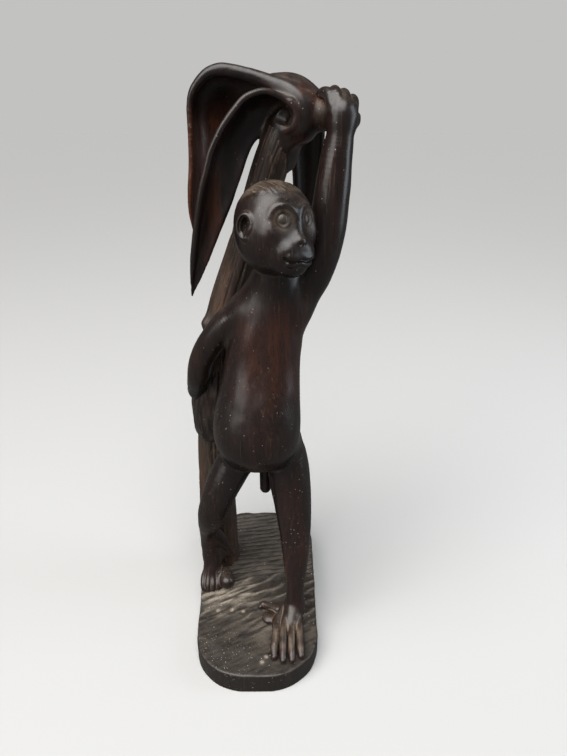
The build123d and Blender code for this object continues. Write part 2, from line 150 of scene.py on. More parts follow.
def ellipsoid_field(x, y, z, middle, axes, radii):
    """Distance, nearly, to an ellipsoid whose axes are the rows given."""
    first = 0.0
    second = 0.0
    for axis, radius in zip(axes, radii):
        local = (x - middle[0]) * axis[0] + (y - middle[1]) * axis[1] + (z - middle[2]) * axis[2]
        first = first + (local / radius) ** 2
        second = second + (local / radius**2) ** 2
    first = np.sqrt(first)
    return first * (first - 1) / np.maximum(np.sqrt(second), 1e-6)


SHEET_REACH = 7.0


def sheet_field(x, y, z, step, centres, normals, edges, ends, radii):
    """Distance to a thick curved sheet, from the sample of it that lies nearest."""
    shape = np.broadcast_shapes(x.shape, y.shape, z.shape)
    axes = [x.ravel(), y.ravel(), z.ravel()]
    nearest = np.full(shape, np.inf, np.float32)
    index = np.zeros(shape, np.int32)
    first = np.array([axis[0] for axis in axes])
    starts = np.maximum(np.ceil((centres - SHEET_REACH - first) / step), 0).astype(int)
    stops = np.maximum(np.floor((centres + SHEET_REACH - first) / step), -1).astype(int) + 1
    for number, centre in enumerate(centres):
        part = tuple(slice(starts[number, k], stops[number, k]) for k in range(3))
        block = nearest[part]
        if block.size == 0:
            continue
        away = [(axes[k][part[k]] - centre[k]) ** 2 for k in range(3)]
        square = away[0][:, None, None] + away[1][None, :, None] + away[2][None, None, :]
        closer = square < block
        block[closer] = square[closer]
        index[part][closer] = number
    found = np.isfinite(nearest)
    value = np.full(shape, FAR, np.float32)
    spot = [np.broadcast_to(axis, shape)[found] for axis in (x, y, z)]
    chosen = index[found]
    offset = np.stack(spot, 1) - centres[chosen]
    height = (offset * normals[chosen]).sum(1)
    beyond = np.maximum((offset * edges[chosen]).sum(1), 0)
    past_end = np.maximum((offset * ends[chosen]).sum(1), 0)
    value[found] = np.sqrt(height**2 + beyond**2 + past_end**2) - radii[chosen]
    return value


def smooth_rows(rows, count):
    """Rows of numbers resampled on a smooth curve through them."""
    rows = np.asarray(rows, float)
    padded = np.vstack([2 * rows[0] - rows[1], rows, 2 * rows[-1] - rows[-2]])
    spots = np.linspace(0, len(rows) - 1, count)
    index = np.minimum(spots.astype(int), len(rows) - 2)
    t = (spots - index)[:, None]
    p0, p1, p2, p3 = (padded[index + k] for k in range(4))
    return 0.5 * (
        2 * p1
        + (p2 - p0) * t
        + (2 * p0 - 5 * p1 + 4 * p2 - p3) * t**2
        + (3 * p1 - p0 - 3 * p2 + p3) * t**3
    )


AXES = np.eye(3)


class Form:
    """Something carved: a list of strokes that add to a field or cut into it."""

    def __init__(self):
        self.strokes = []

    def limb(self, rows, blend=2.0, count=None, cut=False):
        """Round cones along a smooth line through rows of x, y, z, radius."""
        rows = np.asarray(rows, float)
        if count is None:
            count = 6 * (len(rows) - 1) + 1
        line = smooth_rows(rows, count) if len(rows) > 2 else rows
        self.strokes.append(("limb", (line,), blend, cut))
        return self

    def ball(self, middle, radii, blend=2.0, axes=AXES, cut=False):
        radii = np.broadcast_to(np.asarray(radii, float), (3,))
        self.strokes.append(("ball", (np.asarray(middle, float), np.asarray(axes), radii), blend, cut))
        return self

    def shape(self, field, low, high, blend=2.0, cut=False):
        """Any field function of x, y, z that matters inside a box."""
        self.strokes.append(("shape", (field, np.asarray(low, float), np.asarray(high, float)), blend, cut))
        return self

    def sheet(self, centres, normals, edges, ends, radii, blend=2.0):
        """A curved sheet given as dense samples; edges and ends point off its border and are zero inside."""
        self.strokes.append(("sheet", (centres, normals, edges, ends, radii), blend, False))
        return self

    def limits(self):
        """A box round everything that is added."""
        low, high = np.full(3, np.inf), np.full(3, -np.inf)
        for kind, data, _, cut in self.strokes:
            if cut:
                continue
            a, b = stroke_box(kind, data)
            low, high = np.minimum(low, a), np.maximum(high, b)
        return low, high

    def field(self, grid):
        value = grid.empty()
        for kind, data, blend, cut in self.strokes:
            low, high = stroke_box(kind, data)
            margin = blend + 6.0
            part = grid.part_near(low - margin, high + margin)
            if part is None:
                continue
            x, y, z = grid.xyz(part)
            if kind == "limb":
                near = limb_field(grid, part, *data, margin)
            elif kind == "ball":
                near = ellipsoid_field(x, y, z, *data)
            elif kind == "sheet":
                near = sheet_field(x, y, z, grid.step, *data)
            else:
                near = data[0](x, y, z)
            block = value[part]
            value[part] = soft_cut(block, near, blend) if cut else soft_min(block, near, blend)
        return value

    def at(self, points):
        """The field at rows of points, for limbs and balls."""
        x, y, z = np.asarray(points, float).T
        value = np.full(len(x), FAR)
        for kind, data, blend, cut in self.strokes:
            if kind == "ball":
                near = ellipsoid_field(x, y, z, *data)
            else:
                line = data[0]
                near = np.min([cone_field(x, y, z, a[:3], b[:3], a[3], b[3]) for a, b in zip(line, line[1:])], axis=0)
            value = soft_cut(value, near, blend) if cut else soft_min(value, near, blend)
        return value


def stroke_box(kind, data):
    """The box round one stroke."""
    if kind == "limb":
        middles, radii = data[0][:, :3], data[0][:, 3:]
        return (middles - radii).min(0), (middles + radii).max(0)
    if kind == "ball":
        middle, axes, radii = data
        reach = np.sqrt(((axes * radii[:, None]) ** 2).sum(0))
        return middle - reach, middle + reach
    if kind == "sheet":
        centres, radii = data[0], data[4]
        return (centres - radii[:, None]).min(0), (centres + radii[:, None]).max(0)
    return data[1], data[2]


# Meshing

CORNERS = np.array([(i, j, k) for i in (0, 1) for j in (0, 1) for k in (0, 1)])
EDGES = [(a, b) for a in range(8) for b in range(a + 1, 8) if np.abs(CORNERS[a] - CORNERS[b]).sum() == 1]


def net_surface(value, grid):
    """Points and quads of the zero surface of a field, one point per crossed cell."""
    value = value.copy()
    for k in range(3):
        edge = [slice(None)] * 3
        for side in (0, -1):
            edge[k] = side
            value[tuple(edge)] = np.maximum(value[tuple(edge)], 0.5 * grid.step)
    inside = value < 0
    total = np.zeros(tuple(n - 1 for n in value.shape), np.uint8)
    shape = total.shape
    for i, j, k in CORNERS:
        total += inside[i:i + shape[0], j:j + shape[1], k:k + shape[2]]
    active = (total > 0) & (total < 8)
    cells = np.argwhere(active)
    number = np.full(shape, -1, np.int64)
    number[active] = np.arange(len(cells))
    samples = np.stack([value[tuple((cells + corner).T)] for corner in CORNERS], 1)
    summed = np.zeros((len(cells), 3))
    crossed = np.zeros(len(cells))
    for a, b in EDGES:
        va, vb = samples[:, a], samples[:, b]
        cross = (va < 0) != (vb < 0)
        share = np.where(cross, va / np.where(cross, va - vb, 1), 0)
        spot = CORNERS[a] + (CORNERS[b] - CORNERS[a]) * share[:, None]
        summed += spot * cross[:, None]
        crossed += cross
    points = grid.low + (cells + summed / crossed[:, None]) * grid.step
    quads = []
    for axis in range(3):
        u, v = (axis + 1) % 3, (axis + 2) % 3
        first = [slice(None)] * 3
        second = [slice(None)] * 3
        first[axis], second[axis] = slice(0, -1), slice(1, None)
        change = inside[tuple(first)] != inside[tuple(second)]
        spots = np.argwhere(change)
        spots = spots[(spots[:, u] > 0) & (spots[:, v] > 0)]
        spots = spots[(spots[:, u] < shape[u]) & (spots[:, v] < shape[v])]
        corners = []
        for du, dv in ((-1, -1), (0, -1), (0, 0), (-1, 0)):
            cell = spots.copy()
            cell[:, u] += du
            cell[:, v] += dv
            corners.append(number[tuple(cell.T)])
        faces = np.stack(corners, 1)
        flip = ~inside[tuple(spots.T)]
        faces[flip] = faces[flip][:, ::-1]
        quads.append(faces)
    return points, np.vstack(quads)


def sampled(value, grid, points):
    """A field read at any points, between the samples."""
    spot = (points - grid.low) / grid.step
    base = np.clip(np.floor(spot).astype(int), 0, np.array(grid.shape) - 2)
    part = spot - base
    result = 0
    for corner in CORNERS:
        weight = np.prod(np.where(corner == 1, part, 1 - part), axis=1)
        result = result + weight * value[tuple((base + corner).T)]
    return result


def new_piece(name, points, faces, material, normals=None, dust=None):
    """A named mesh object from points in millimetres, riding on the carving."""
    mesh = bpy.data.meshes.new(name)
    points = np.asarray(points, float) * MM
    mesh.vertices.add(len(points))
    mesh.vertices.foreach_set("co", points.ravel())
    sizes = np.array([len(face) for face in faces]) if not isinstance(faces, np.ndarray) else None
    if sizes is None:
        sizes = np.full(len(faces), faces.shape[1])
        loops = faces.ravel()
    else:
        loops = np.concatenate([np.asarray(face) for face in faces])
    mesh.loops.add(len(loops))
    mesh.loops.foreach_set("vertex_index", loops.astype(np.int32))
    mesh.polygons.add(len(sizes))
    starts = np.concatenate([[0], np.cumsum(sizes)[:-1]]).astype(np.int32)
    mesh.polygons.foreach_set("loop_start", starts)
    mesh.polygons.foreach_set("use_smooth", np.ones(len(sizes), bool))
    mesh.update(calc_edges=True)
    mesh.validate()
    # How much dust the carving says lies at each point; on the base it also holds painted shade in the grooves and
    # gouge hollows
    attribute = mesh.attributes.new("dust", "FLOAT", "POINT")
    attribute.data.foreach_set("value", np.zeros(len(points)) if dust is None else dust)
    if normals is not None:
        mesh.normals_split_custom_set_from_vertices(normals)
    piece = bpy.data.objects.new(name, mesh)
    bpy.context.scene.collection.objects.link(piece)
    mesh.materials.append(material)
    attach(piece, "root")
    return piece


def sculpted(name, field, whole, grid, material, settled=None):
    """A piece from its own closed field, shaded by the whole form it was cut from."""
    points, quads = net_surface(field, grid)
    slopes = np.gradient(whole, grid.step)
    normals = np.stack([sampled(slope, grid, points) for slope in slopes], 1)
    normals /= np.linalg.norm(normals, axis=1, keepdims=True) + 1e-9
    bend = sum(np.gradient(slopes[k], grid.step, axis=k) for k in range(3))
    dust = HOLLOW_DUST * np.clip(-sampled(bend, grid, points) * HOLLOW_REACH - 0.15, 0, 1)
    if settled is not None:
        dust = np.clip(dust + settled(points, normals), 0, 1)
    piece = new_piece(name, points, quads, material, normals, dust)
    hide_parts(name.replace("_carved", ""))
    return piece


# How much dust lies in a carved hollow, and how tight the hollow has to be, in millimetres
HOLLOW_DUST = 0.36
HOLLOW_REACH = 1.6

# Noise for tool marks and bark

def lattice_noise(points, seed):
    """Smooth noise between -1 and 1 at rows of coordinates."""
    points = np.asarray(points, float)
    base = np.floor(points).astype(np.int64)
    part = points - base
    part = part * part * (3 - 2 * part)
    total = 0
    for corner in CORNERS[:, :points.shape[1]] if points.shape[1] == 3 else CORNERS[:4, 1:]:
        spot = base + corner
        mixed = spot[:, 0] * 374761393 + spot[:, 1] * 668265263 + seed * 974634721
        if points.shape[1] == 3:
            mixed = mixed + spot[:, 2] * 2147483647
        mixed = (mixed ^ (mixed >> 13)) * 1274126177
        mixed = mixed ^ (mixed >> 16)
        height = (mixed & 65535) / 32767.5 - 1
        weight = np.prod(np.where(corner == 1, part, 1 - part), axis=1)
        total = total + weight * height
    return total


RELIEF_BAND = 2.5


def surface_relief(whole, grid, relief):
    """A field with a relief added to its surface; the relief is worked out only near there."""
    near = np.abs(whole) < RELIEF_BAND
    points = grid.low + np.argwhere(near) * grid.step
    result = whole.copy()
    result[near] -= relief(points)
    return result


def tool_marks(points):
    """Slight unevenness left by the knife and the sandpaper."""
    return 0.22 * lattice_noise(points / (9.0, 9.0, 13.0), 51) + 0.10 * lattice_noise(points / (4.0, 4.0, 7.0), 52)


# Materials

class Wood:
    """The node tree of one wood, with short names for the nodes that it uses."""

    def __init__(self, name):
        self.material = bpy.data.materials.new(name)
        self.material.use_nodes = True
        tree = self.material.node_tree
        self.nodes, self.links = tree.nodes, tree.links
        self.shader = self.nodes["Principled BSDF"]
        self.place = self.nodes.new("ShaderNodeTexCoord").outputs["Object"]

    def mapped(self, stretch, tilt=(0.0, 0.0, 0.0)):
        """The place on the object, turned and then stretched."""
        mapping = self.nodes.new("ShaderNodeMapping")
        mapping.inputs["Scale"].default_value = stretch
        mapping.inputs["Rotation"].default_value = tilt
        self.links.new(self.place, mapping.inputs["Vector"])
        return mapping.outputs["Vector"]

    def noise(self, size, stretch=(1.0, 1.0, 1.0), detail=4.0, rough=0.55, tilt=(0.0, 0.0, 0.0)):
        """Cloudy noise whose blobs are about this many carving millimetres wide."""
        texture = self.nodes.new("ShaderNodeTexNoise")
        texture.inputs["Scale"].default_value = 1 / (size * MM)
        texture.inputs["Detail"].default_value = detail
        texture.inputs["Roughness"].default_value = rough
        self.links.new(self.mapped(stretch, tilt), texture.inputs["Vector"])
        return texture.outputs["Fac"]

    def ramp(self, source, low, high, start=0.0, end=1.0):
        node = self.nodes.new("ShaderNodeMapRange")
        for socket, value in zip(("From Min", "From Max", "To Min", "To Max"), (low, high, start, end)):
            node.inputs[socket].default_value = value
        self.links.new(source, node.inputs["Value"])
        return node.outputs["Result"]

    def sum(self, kind, first, second):
        node = self.nodes.new("ShaderNodeMath")
        node.operation = kind
        node.use_clamp = True
        for socket, value in zip(node.inputs, (first, second)):
            if isinstance(value, (int, float)):
                socket.default_value = value
            else:
                self.links.new(value, socket)
        return node.outputs["Value"]

    def mix(self, factor, first, second):
        node = self.nodes.new("ShaderNodeMix")
        node.data_type = "RGBA"
        self.links.new(factor, node.inputs["Factor"])
        for socket, value in ((node.inputs["A"], first), (node.inputs["B"], second)):
            if isinstance(value, tuple):
                socket.default_value = (*value, 1)
            else:
                self.links.new(value, socket)
        return node.outputs["Result"]

    def split(self, vector):
        node = self.nodes.new("ShaderNodeSeparateXYZ")
        self.links.new(vector, node.inputs["Vector"])
        return node.outputs

    def attribute(self, name):
        node = self.nodes.new("ShaderNodeAttribute")
        node.attribute_name = name
        return node.outputs["Fac"]

    def specks(self, size, dot_share, kept_share):
        """Small round dots, one in some of the cells of a loose grid."""
        cells = self.nodes.new("ShaderNodeTexVoronoi")
        cells.inputs["Scale"].default_value = 1 / (size * MM)
        self.links.new(self.place, cells.inputs["Vector"])
        dot = self.ramp(cells.outputs["Distance"], dot_share, 0.6 * dot_share)
        chance = self.ramp(self.split(cells.outputs["Color"])["X"], 1 - kept_share, 1 - kept_share + 0.01)
        return self.sum("MULTIPLY", dot, chance)


ALONG_GRAIN = 0.10
PALE_SPECK = (0.52, 0.49, 0.44)


def wood_material(name, dark, warm, fibre, streak_share, fibre_share, roughness, dust_share, dust_color,
                  speck_share, bump_depth, heart=None, sprinkled=None, tilt=(0.0, 0.0, 0.0)):
    """Dark hardwood: heartwood streaks and fibres along the block, open pores, dust on ledges and in hollows."""
    wood = Wood(name)
    shader, links = wood.shader, wood.links
    grain = (1.0, 1.0, ALONG_GRAIN)
    # Heartwood streaks that run up the block, in broad bands or where the heartwood lies
    streaks = wood.ramp(wood.noise(9.0, grain, 6.0, 0.62, tilt), 0.40, 0.66)
    bands = wood.ramp(wood.noise(34.0, (1.0, 1.0, 0.22), 3.0, 0.5, tilt), 0.42, 0.62)
    if heart is not None:
        heartwood = heart(wood)
        bands = wood.sum("MAXIMUM", wood.sum("MULTIPLY", bands, 0.35), heartwood)
        streaks = wood.sum("MAXIMUM", streaks, wood.sum("MULTIPLY", heartwood, 0.5))
    warmth = wood.sum("MULTIPLY", wood.sum("MULTIPLY", streaks, bands), streak_share)
    color = wood.mix(warmth, dark, warm)
    # Pale fibres, thin and long
    fibres = wood.ramp(wood.noise(1.5, (1.0, 1.0, 0.035), 3.0, 0.7, tilt), 0.56, 0.70)
    fibres = wood.sum("MULTIPLY", fibres, wood.ramp(wood.noise(14.0, (1.0, 1.0, 0.4), 3.0), 0.42, 0.62))
    color = wood.mix(wood.sum("MULTIPLY", fibres, fibre_share), color, fibre)
    # Pores: short dark dashes along the grain
    pores = wood.ramp(wood.noise(0.9, (1.0, 1.0, 0.07), 2.0, 0.6, tilt), 0.58, 0.70)
    color = wood.mix(wood.sum("MULTIPLY", pores, 0.75), color, tuple(0.35 * part for part in dark))
    # Dust: on faces that look up, in carved hollows and where the carving says, broken up; on the base, what the
    # carving says also leaves painted shade in the grooves and gouge hollows
    geometry = wood.nodes.new("ShaderNodeNewGeometry")
    ledge = wood.ramp(wood.split(geometry.outputs["Normal"])["Z"], 0.45, 1.0)
    patches = wood.ramp(wood.noise(7.0, (1.0, 1.0, 1.0), 7.0, 0.72), 0.40, 0.66)
    ledge_dust = wood.sum("MULTIPLY", wood.sum("MULTIPLY", ledge, patches), dust_share)
    grit = wood.ramp(wood.noise(1.3, (1.0, 1.0, 1.0), 4.0, 0.7), 0.30, 0.62, 0.35, 1.0)
    settled = wood.sum("MULTIPLY", wood.attribute("dust"), grit)
    dust = wood.sum("MAXIMUM", ledge_dust, settled)
    color = wood.mix(dust, color, dust_color)
    specks = wood.sum("MULTIPLY", wood.specks(3.2, 0.13, 0.5), wood.ramp(wood.noise(26.0), 0.44, 0.60))
    specks = wood.sum("MULTIPLY", specks, speck_share)
    if sprinkled is not None:
        fine_specks = wood.sum("MULTIPLY", wood.specks(1.6, 0.20, 0.55), sprinkled(wood))
        specks = wood.sum("MAXIMUM", specks, fine_specks)
    color = wood.mix(specks, color, PALE_SPECK)
    links.new(color, shader.inputs["Base Color"])
    rough = wood.ramp(wood.noise(7.0, (1.0, 1.0, 0.3), 5.0, 0.6), 0.3, 0.7, roughness - 0.07, roughness + 0.09)
    rough = wood.sum("ADD", rough, wood.sum("MULTIPLY", wood.sum("MAXIMUM", dust, specks), 0.5))
    links.new(rough, shader.inputs["Roughness"])
    shader.inputs["Specular IOR Level"].default_value = 0.5
    bump = wood.nodes.new("ShaderNodeBump")
    bump.inputs["Strength"].default_value = 1.0
    bump.inputs["Distance"].default_value = bump_depth * MM
    fine = wood.noise(1.6, (1.0, 1.0, 0.12), 4.0, 0.6, tilt)
    facets = wood.noise(8.0, (1.0, 1.0, 0.6), 2.0, 0.5)
    height = wood.sum("ADD", wood.sum("MULTIPLY", fine, 0.5), wood.sum("MULTIPLY", facets, 0.5))
    links.new(height, bump.inputs["Height"])
    links.new(bump.outputs["Normal"], shader.inputs["Normal"])
    return wood.material


def rear_heart(wood):
    """Heartwood shows on the tree's rear leaf, below its rim."""
    place = wood.split(wood.place)
    outer = wood.sum("MULTIPLY", wood.ramp(place["Y"], 9 * MM, 17 * MM), wood.ramp(place["X"], -33 * MM, -38 * MM))
    back = wood.sum("MAXIMUM", wood.ramp(place["Y"], 17 * MM, 25 * MM), outer)
    low = wood.ramp(place["Z"], 404 * MM, 384 * MM)
    left = wood.ramp(place["X"], 14 * MM, 4 * MM, 0.0, 0.9)
    return wood.sum("MULTIPLY", wood.sum("MULTIPLY", back, low), left)


def chest_heart(wood):
    """Heartwood shows on the figure's chest, and a little on its shins."""
    place = wood.split(wood.place)
    height = place["Z"]
    chest = wood.sum("MULTIPLY", wood.ramp(height, 190 * MM, 222 * MM), wood.ramp(height, 288 * MM, 264 * MM))
    chest = wood.sum("MULTIPLY", chest, wood.ramp(place["X"], -22 * MM, -6 * MM))
    shin = wood.ramp(height, 118 * MM, 84 * MM, 0.0, 0.5)
    return wood.sum("MAXIMUM", wood.sum("MULTIPLY", chest, 0.9), shin)


def front_left(wood):
    """White specks lie on the front left part of the base."""
    place = wood.split(wood.place)
    left = wood.ramp(place["X"], 4 * MM, -16 * MM)
    near = wood.ramp(place["Y"], -44 * MM, -62 * MM)
    patches = wood.ramp(wood.noise(9.0), 0.40, 0.58)
    return wood.sum("MULTIPLY", wood.sum("MULTIPLY", left, near), patches)


DUST = (0.26, 0.195, 0.135)
FIBRE = (0.27, 0.155, 0.085)
figure_wood = wood_material(
    "figure_wood", (0.0105, 0.0070, 0.0062), (0.058, 0.0195, 0.0120), FIBRE, 0.75, 0.16, 0.29, 0.20, DUST,
    0.55, 0.09, heart=chest_heart, tilt=(0.0, math.radians(14), 0.0),
)
leaf_wood = wood_material(
    "leaf_wood", (0.0115, 0.0078, 0.0068), (0.150, 0.046, 0.022), FIBRE, 0.95, 0.10, 0.34, 0.16, DUST,
    0.4, 0.09, heart=rear_heart,
)
tree_wood = wood_material(
    "tree_wood", (0.0150, 0.0090, 0.0062), (0.100, 0.041, 0.019), FIBRE, 0.95, 0.60, 0.48, 0.15, DUST, 0.5, 0.25
)
base_wood = wood_material(
    "base_wood", (0.0165, 0.0132, 0.0112), (0.038, 0.028, 0.021), FIBRE, 0.55, 0.12, 0.40, 0.10, (0.34, 0.285, 0.22),
    1.0, 0.16, sprinkled=front_left,
)

# The figure's forms: rows are x, y, z and radius in carving millimetres

# Torso: rows are height, middle across, middle back, half width, half depth
TORSO_ROWS = (
    (147.0, 1.0, -8.0, 9.0, 8.0),
    (150.0, 1.0, -9.5, 16.0, 14.0),
    (158.0, 0.9, -12.5, 24.5, 22.0),
    (172.0, 0.2, -15.0, 30.6, 28.5),
    (190.0, 0.2, -15.0, 31.8, 29.5),
    (210.0, 2.0, -12.0, 29.4, 26.5),
    (235.0, 4.8, -7.5, 26.6, 22.5),
    (258.0, 8.2, -5.0, 25.3, 21.0),
    (274.0, 11.4, -5.0, 22.5, 19.0),
    (287.0, 13.2, -6.0, 18.0, 16.5),
    (298.0, 14.0, -8.0, 15.0, 15.0),
    (308.0, 14.5, -9.0, 13.0, 13.0),
)


def torso_field(x, y, z):
    """Distance, nearly, to the stack of ellipses that makes the torso."""
    rows = smooth_rows(TORSO_ROWS, 160)
    levels = np.clip(z, rows[0, 0], rows[-1, 0])
    cx, cy, rx, ry = (np.interp(levels, rows[:, 0], rows[:, k]).astype(np.float32) for k in (1, 2, 3, 4))
    dx, dy = x - cx, y - cy
    first = np.sqrt((dx / rx) ** 2 + (dy / ry) ** 2)
    second = np.sqrt((dx / rx**2) ** 2 + (dy / ry**2) ** 2)
    side = np.where(first > 1e-3, first * (first - 1) / np.maximum(second, 1e-6), -np.minimum(rx, ry))
    return np.maximum(side, np.maximum(rows[0, 0] - z, z - rows[-1, 0]))


torso = Form().shape(torso_field, (-34, -48, 147), (40, 20, 308), 0.0)
torso.limb([(8, -4, 287, 10.5), (-4, -3, 272, 12.5)], 8.0)
torso.limb([(18, -4, 285, 10.5), (24, -3, 270, 12.5)], 8.0)

# Head, in its own axes: the face looks along FACE, SIDE is the figure's left, CREST is up the tilted head
HEAD = np.array((14.2, -15.0, 328.0))
FACE_TURN = math.radians(35.0)
HEAD_TILT = math.radians(5.0)
FACE = np.array((math.sin(FACE_TURN), -math.cos(FACE_TURN), 0.0))
LEVEL_SIDE = np.array((math.cos(FACE_TURN), math.sin(FACE_TURN), 0.0))
SIDE = LEVEL_SIDE * math.cos(HEAD_TILT) - UP * math.sin(HEAD_TILT)
CREST = UP * math.cos(HEAD_TILT) + LEVEL_SIDE * math.sin(HEAD_TILT)
HEAD_AXES = np.array((SIDE, FACE, CREST))


def on_head(side, forward, up):
    """A place on the head from how far it lies to the side, forward and up."""
    return HEAD + SIDE * side + FACE * forward + CREST * up


def on_face(side, up):
    """The place on the front of the head as made so far, this far to the side and up."""
    forward = np.linspace(40.0, 0.0, 801)
    line = np.array([on_head(side, step, up) for step in forward])
    return line[np.argmax(head.at(line) < 0)]


def head_rows(rows):
    """Rows of side, forward, up and radius on the head as rows in space."""
    return [(*on_head(*row[:3]), row[3]) for row in rows]


def face_rows(rows, lift):
    """Rows of side, up and radius laid on the face, lifted off it or sunk into it."""
    return [(*(on_face(side, up) + FACE * lift), radius) for side, up, radius in rows]


def ring_rows(middle, right, above, radius, thickness, start=0.0, stop=2 * math.pi, count=25):
    """Rows along an arc round a middle."""
    return [
        (*(middle + (right * math.cos(turn) + above * math.sin(turn)) * radius), thickness)
        for turn in np.linspace(start, stop, count)
    ]


SKULL = (0.0, -1.5, 3.5)
head = Form()
head.ball(on_head(*SKULL), (24.4, 25.5, 24.4), 0.0, HEAD_AXES)
head.ball(on_head(0, 1.5, -9.8), (22.8, 21.5, 18.8), 10.0, HEAD_AXES)
head.ball(on_head(-0.8, 18.0, -12.6), (13.6, 12.0, 12.8), 4.5, HEAD_AXES)
head.limb(head_rows([(0, 22.0, 2.0, 2.2), (0, 24.8, -1.0, 2.4), (0, 26.6, -3.2, 2.4)]), 6.0)
for side in (-1, 1):
    head.ball(on_head(5.2 * side, 23.6, -9.8), (6.6, 5.8, 6.0), 5.0, HEAD_AXES)
    head.ball(on_head(11.0 * side, 15.0, -1.0), (6.5, 6.0, 6.5), 7.0, HEAD_AXES)
head.ball(on_head(0, 20.6, -19.8), (9.0, 7.6, 6.0), 4.0, HEAD_AXES)
head.ball(on_head(0, 27.8, -3.2), (2.8, 2.3, 2.0), 2.2, HEAD_AXES)

EYE_SIDE, EYE_UP = 9.2, 8.4
EYEBALL = 5.5
eye_places = {}
for name, side in (("right_eye", -1), ("left_eye", 1)):
    surface = on_face(EYE_SIDE * side, EYE_UP)
    outward = surface - on_head(*SKULL)
    outward = outward / np.linalg.norm(outward)
    right = np.cross(CREST, outward)
    right /= np.linalg.norm(right)
    above = np.cross(outward, right)
    eye_places[name] = (surface, outward)
    brow = ring_rows(surface - outward * 2.7, right, above, 7.4, 2.0, math.radians(15), math.radians(165))
    taper = np.sin(np.linspace(0, math.pi, len(brow)))
    head.limb([(*row[:3], row[3] * share) for row, share in zip(brow, 0.2 + 0.8 * taper)], 4.0)
    head.ball(surface + outward * 14.5, 16.1, 1.8, cut=True)
    head.limb(ring_rows(surface - outward * 1.7, right, above, 4.4, 0.6), 0.9)
head.ball(on_head(0, 18.2, 5.5), (6.8, 4.2, 8.5), 4.0, HEAD_AXES)
for side in (-1, 1):
    head.ball(on_face(1.5 * side, -5.0) + FACE * 0.4, (0.8, 1.3, 0.6), 0.5, HEAD_AXES, cut=True)
MOUTH = ((-10.5, -13.4), (-8.0, -14.5), (-4.5, -15.0), (0.0, -14.0), (4.5, -15.0), (8.0, -14.5), (10.5, -13.4))
upper_lip = face_rows([(side, up + 2.2, 1.7) for side, up in MOUTH[1:-1]], -1.0)
lower_lip = face_rows([(side, up - 2.2, 1.6) for side, up in MOUTH[1:-1]], -0.5)
groove = face_rows([(side, up, 1.25) for side, up in MOUTH], -0.1)
head.limb(upper_lip, 2.0)
head.limb(lower_lip, 1.2)
head.limb(groove, 0.4, cut=True)

# Hair: a cap over the crown of the head, a little raised and cut into strands
HAIR_LIFT, HAIR_DEPTH = 0.3, 0.26
STRAND = np.array((1.4, 5.0, 3.0))


def hair_cover(points):
    """How much of each point of the head is under hair, and where the points lie on the head."""
    place = (points - HEAD) @ HEAD_AXES.T
    side, forward, up = place.T
    edge = 20.2 + np.where(forward > 2, 0.15, 0.55) * (forward - 2)
    edge = edge + 0.9 * lattice_noise(np.stack([side / 2.5, forward / 4.0], 1), 41)
    return np.clip((up - edge) / 3.0, 0, 1), place


def hair_relief(points):
    """How far the hair stands off the skull at rows of points."""
    cover, place = hair_cover(points)
    strands = lattice_noise(place / STRAND, 42) + 0.6 * lattice_noise(place / (0.6 * STRAND), 43)
    return cover * (HAIR_LIFT + HAIR_DEPTH * strands)


def head_dust(points, normals):
    """Dust among the strands of hair and round the eyes, and none in the mouth."""
    cover, place = hair_cover(points)
    patches = np.clip(0.7 + 0.6 * lattice_noise(place / (3.0, 6.0, 3.0), 44), 0, 1)
    mouth = (place[:, 1] > 19) & (np.abs(place[:, 2] + 14.5) < 2.6)
    away = np.min([np.linalg.norm(points - surface, axis=1) for surface, _ in eye_places.values()], axis=0)
    sockets = np.clip((9.0 - away) / 3.0, 0, 1)
    return np.where(mouth, -1.0, (0.34 * cover + 0.14 * sockets) * patches)


# Ears: a deep bowl, open to the front, with a rolled rim, a ridge in front and a lobe
ears = {}
for name, side in (("right_ear", -1), ("left_ear", 1)):
    middle = on_head(23.4 * side, 3.2, 2.0)
    outward = SIDE * side * 0.86 + FACE * 0.51
    across = np.cross(CREST, outward)
    front = across * -side
    ear_axes = np.array((across, CREST, outward))
    ear = Form()
    head.ball(middle - outward * 1.2, (3.2, 5.0, 4.0), 1.0, ear_axes, cut=True)
    ear.ball(middle - outward * 1.8, (6.0, 8.0, 3.4), 0.0, ear_axes)
    rim = [
        (*(middle + outward * 1.0 + front * 4.9 * math.cos(turn) + CREST * 7.0 * math.sin(turn)), thickness)
        for turn, thickness in zip(np.linspace(math.radians(20), math.radians(285), 25), np.linspace(1.0, 1.7, 25))
    ]
    ear.limb(rim, 1.0)
    ear.ball(middle + outward * 1.0 + CREST * 0.4, (3.7, 5.7, 6.4), 0.6, ear_axes, cut=True)
    ear.limb([(*(middle + outward * 0.9 + front * 4.8 + CREST * 2.0), 1.0),
              (*(middle + outward * 1.4 + front * 3.6 - CREST * 1.6), 1.4),
              (*(middle + outward * 0.8 + front * 1.6 - CREST * 4.9), 1.5)], 0.8)
    ears[name] = ear

# Arms
right_arm = Form().limb(
    [(-2, -3, 270, 12.5), (-13, -3, 265, 11.0), (-23, -2, 256.5, 10.0), (-32.5, 0, 244, 9.4),
     (-39.5, 3, 230, 9.2), (-43, 8, 216, 8.9), (-45.8, 15, 205, 8.2), (-47, 21, 197, 7.2)]
)
left_arm = Form().limb(
    [(22, -1, 268, 13), (32.4, -1, 283, 12.8), (41.5, -1, 300, 12.6), (47.4, -1, 322, 12.2),
     (50.0, -1, 345, 11.3), (51.8, -1, 365, 10.2), (53.6, -1, 380, 8.3), (54.0, -0.5, 390, 7.6)]
)

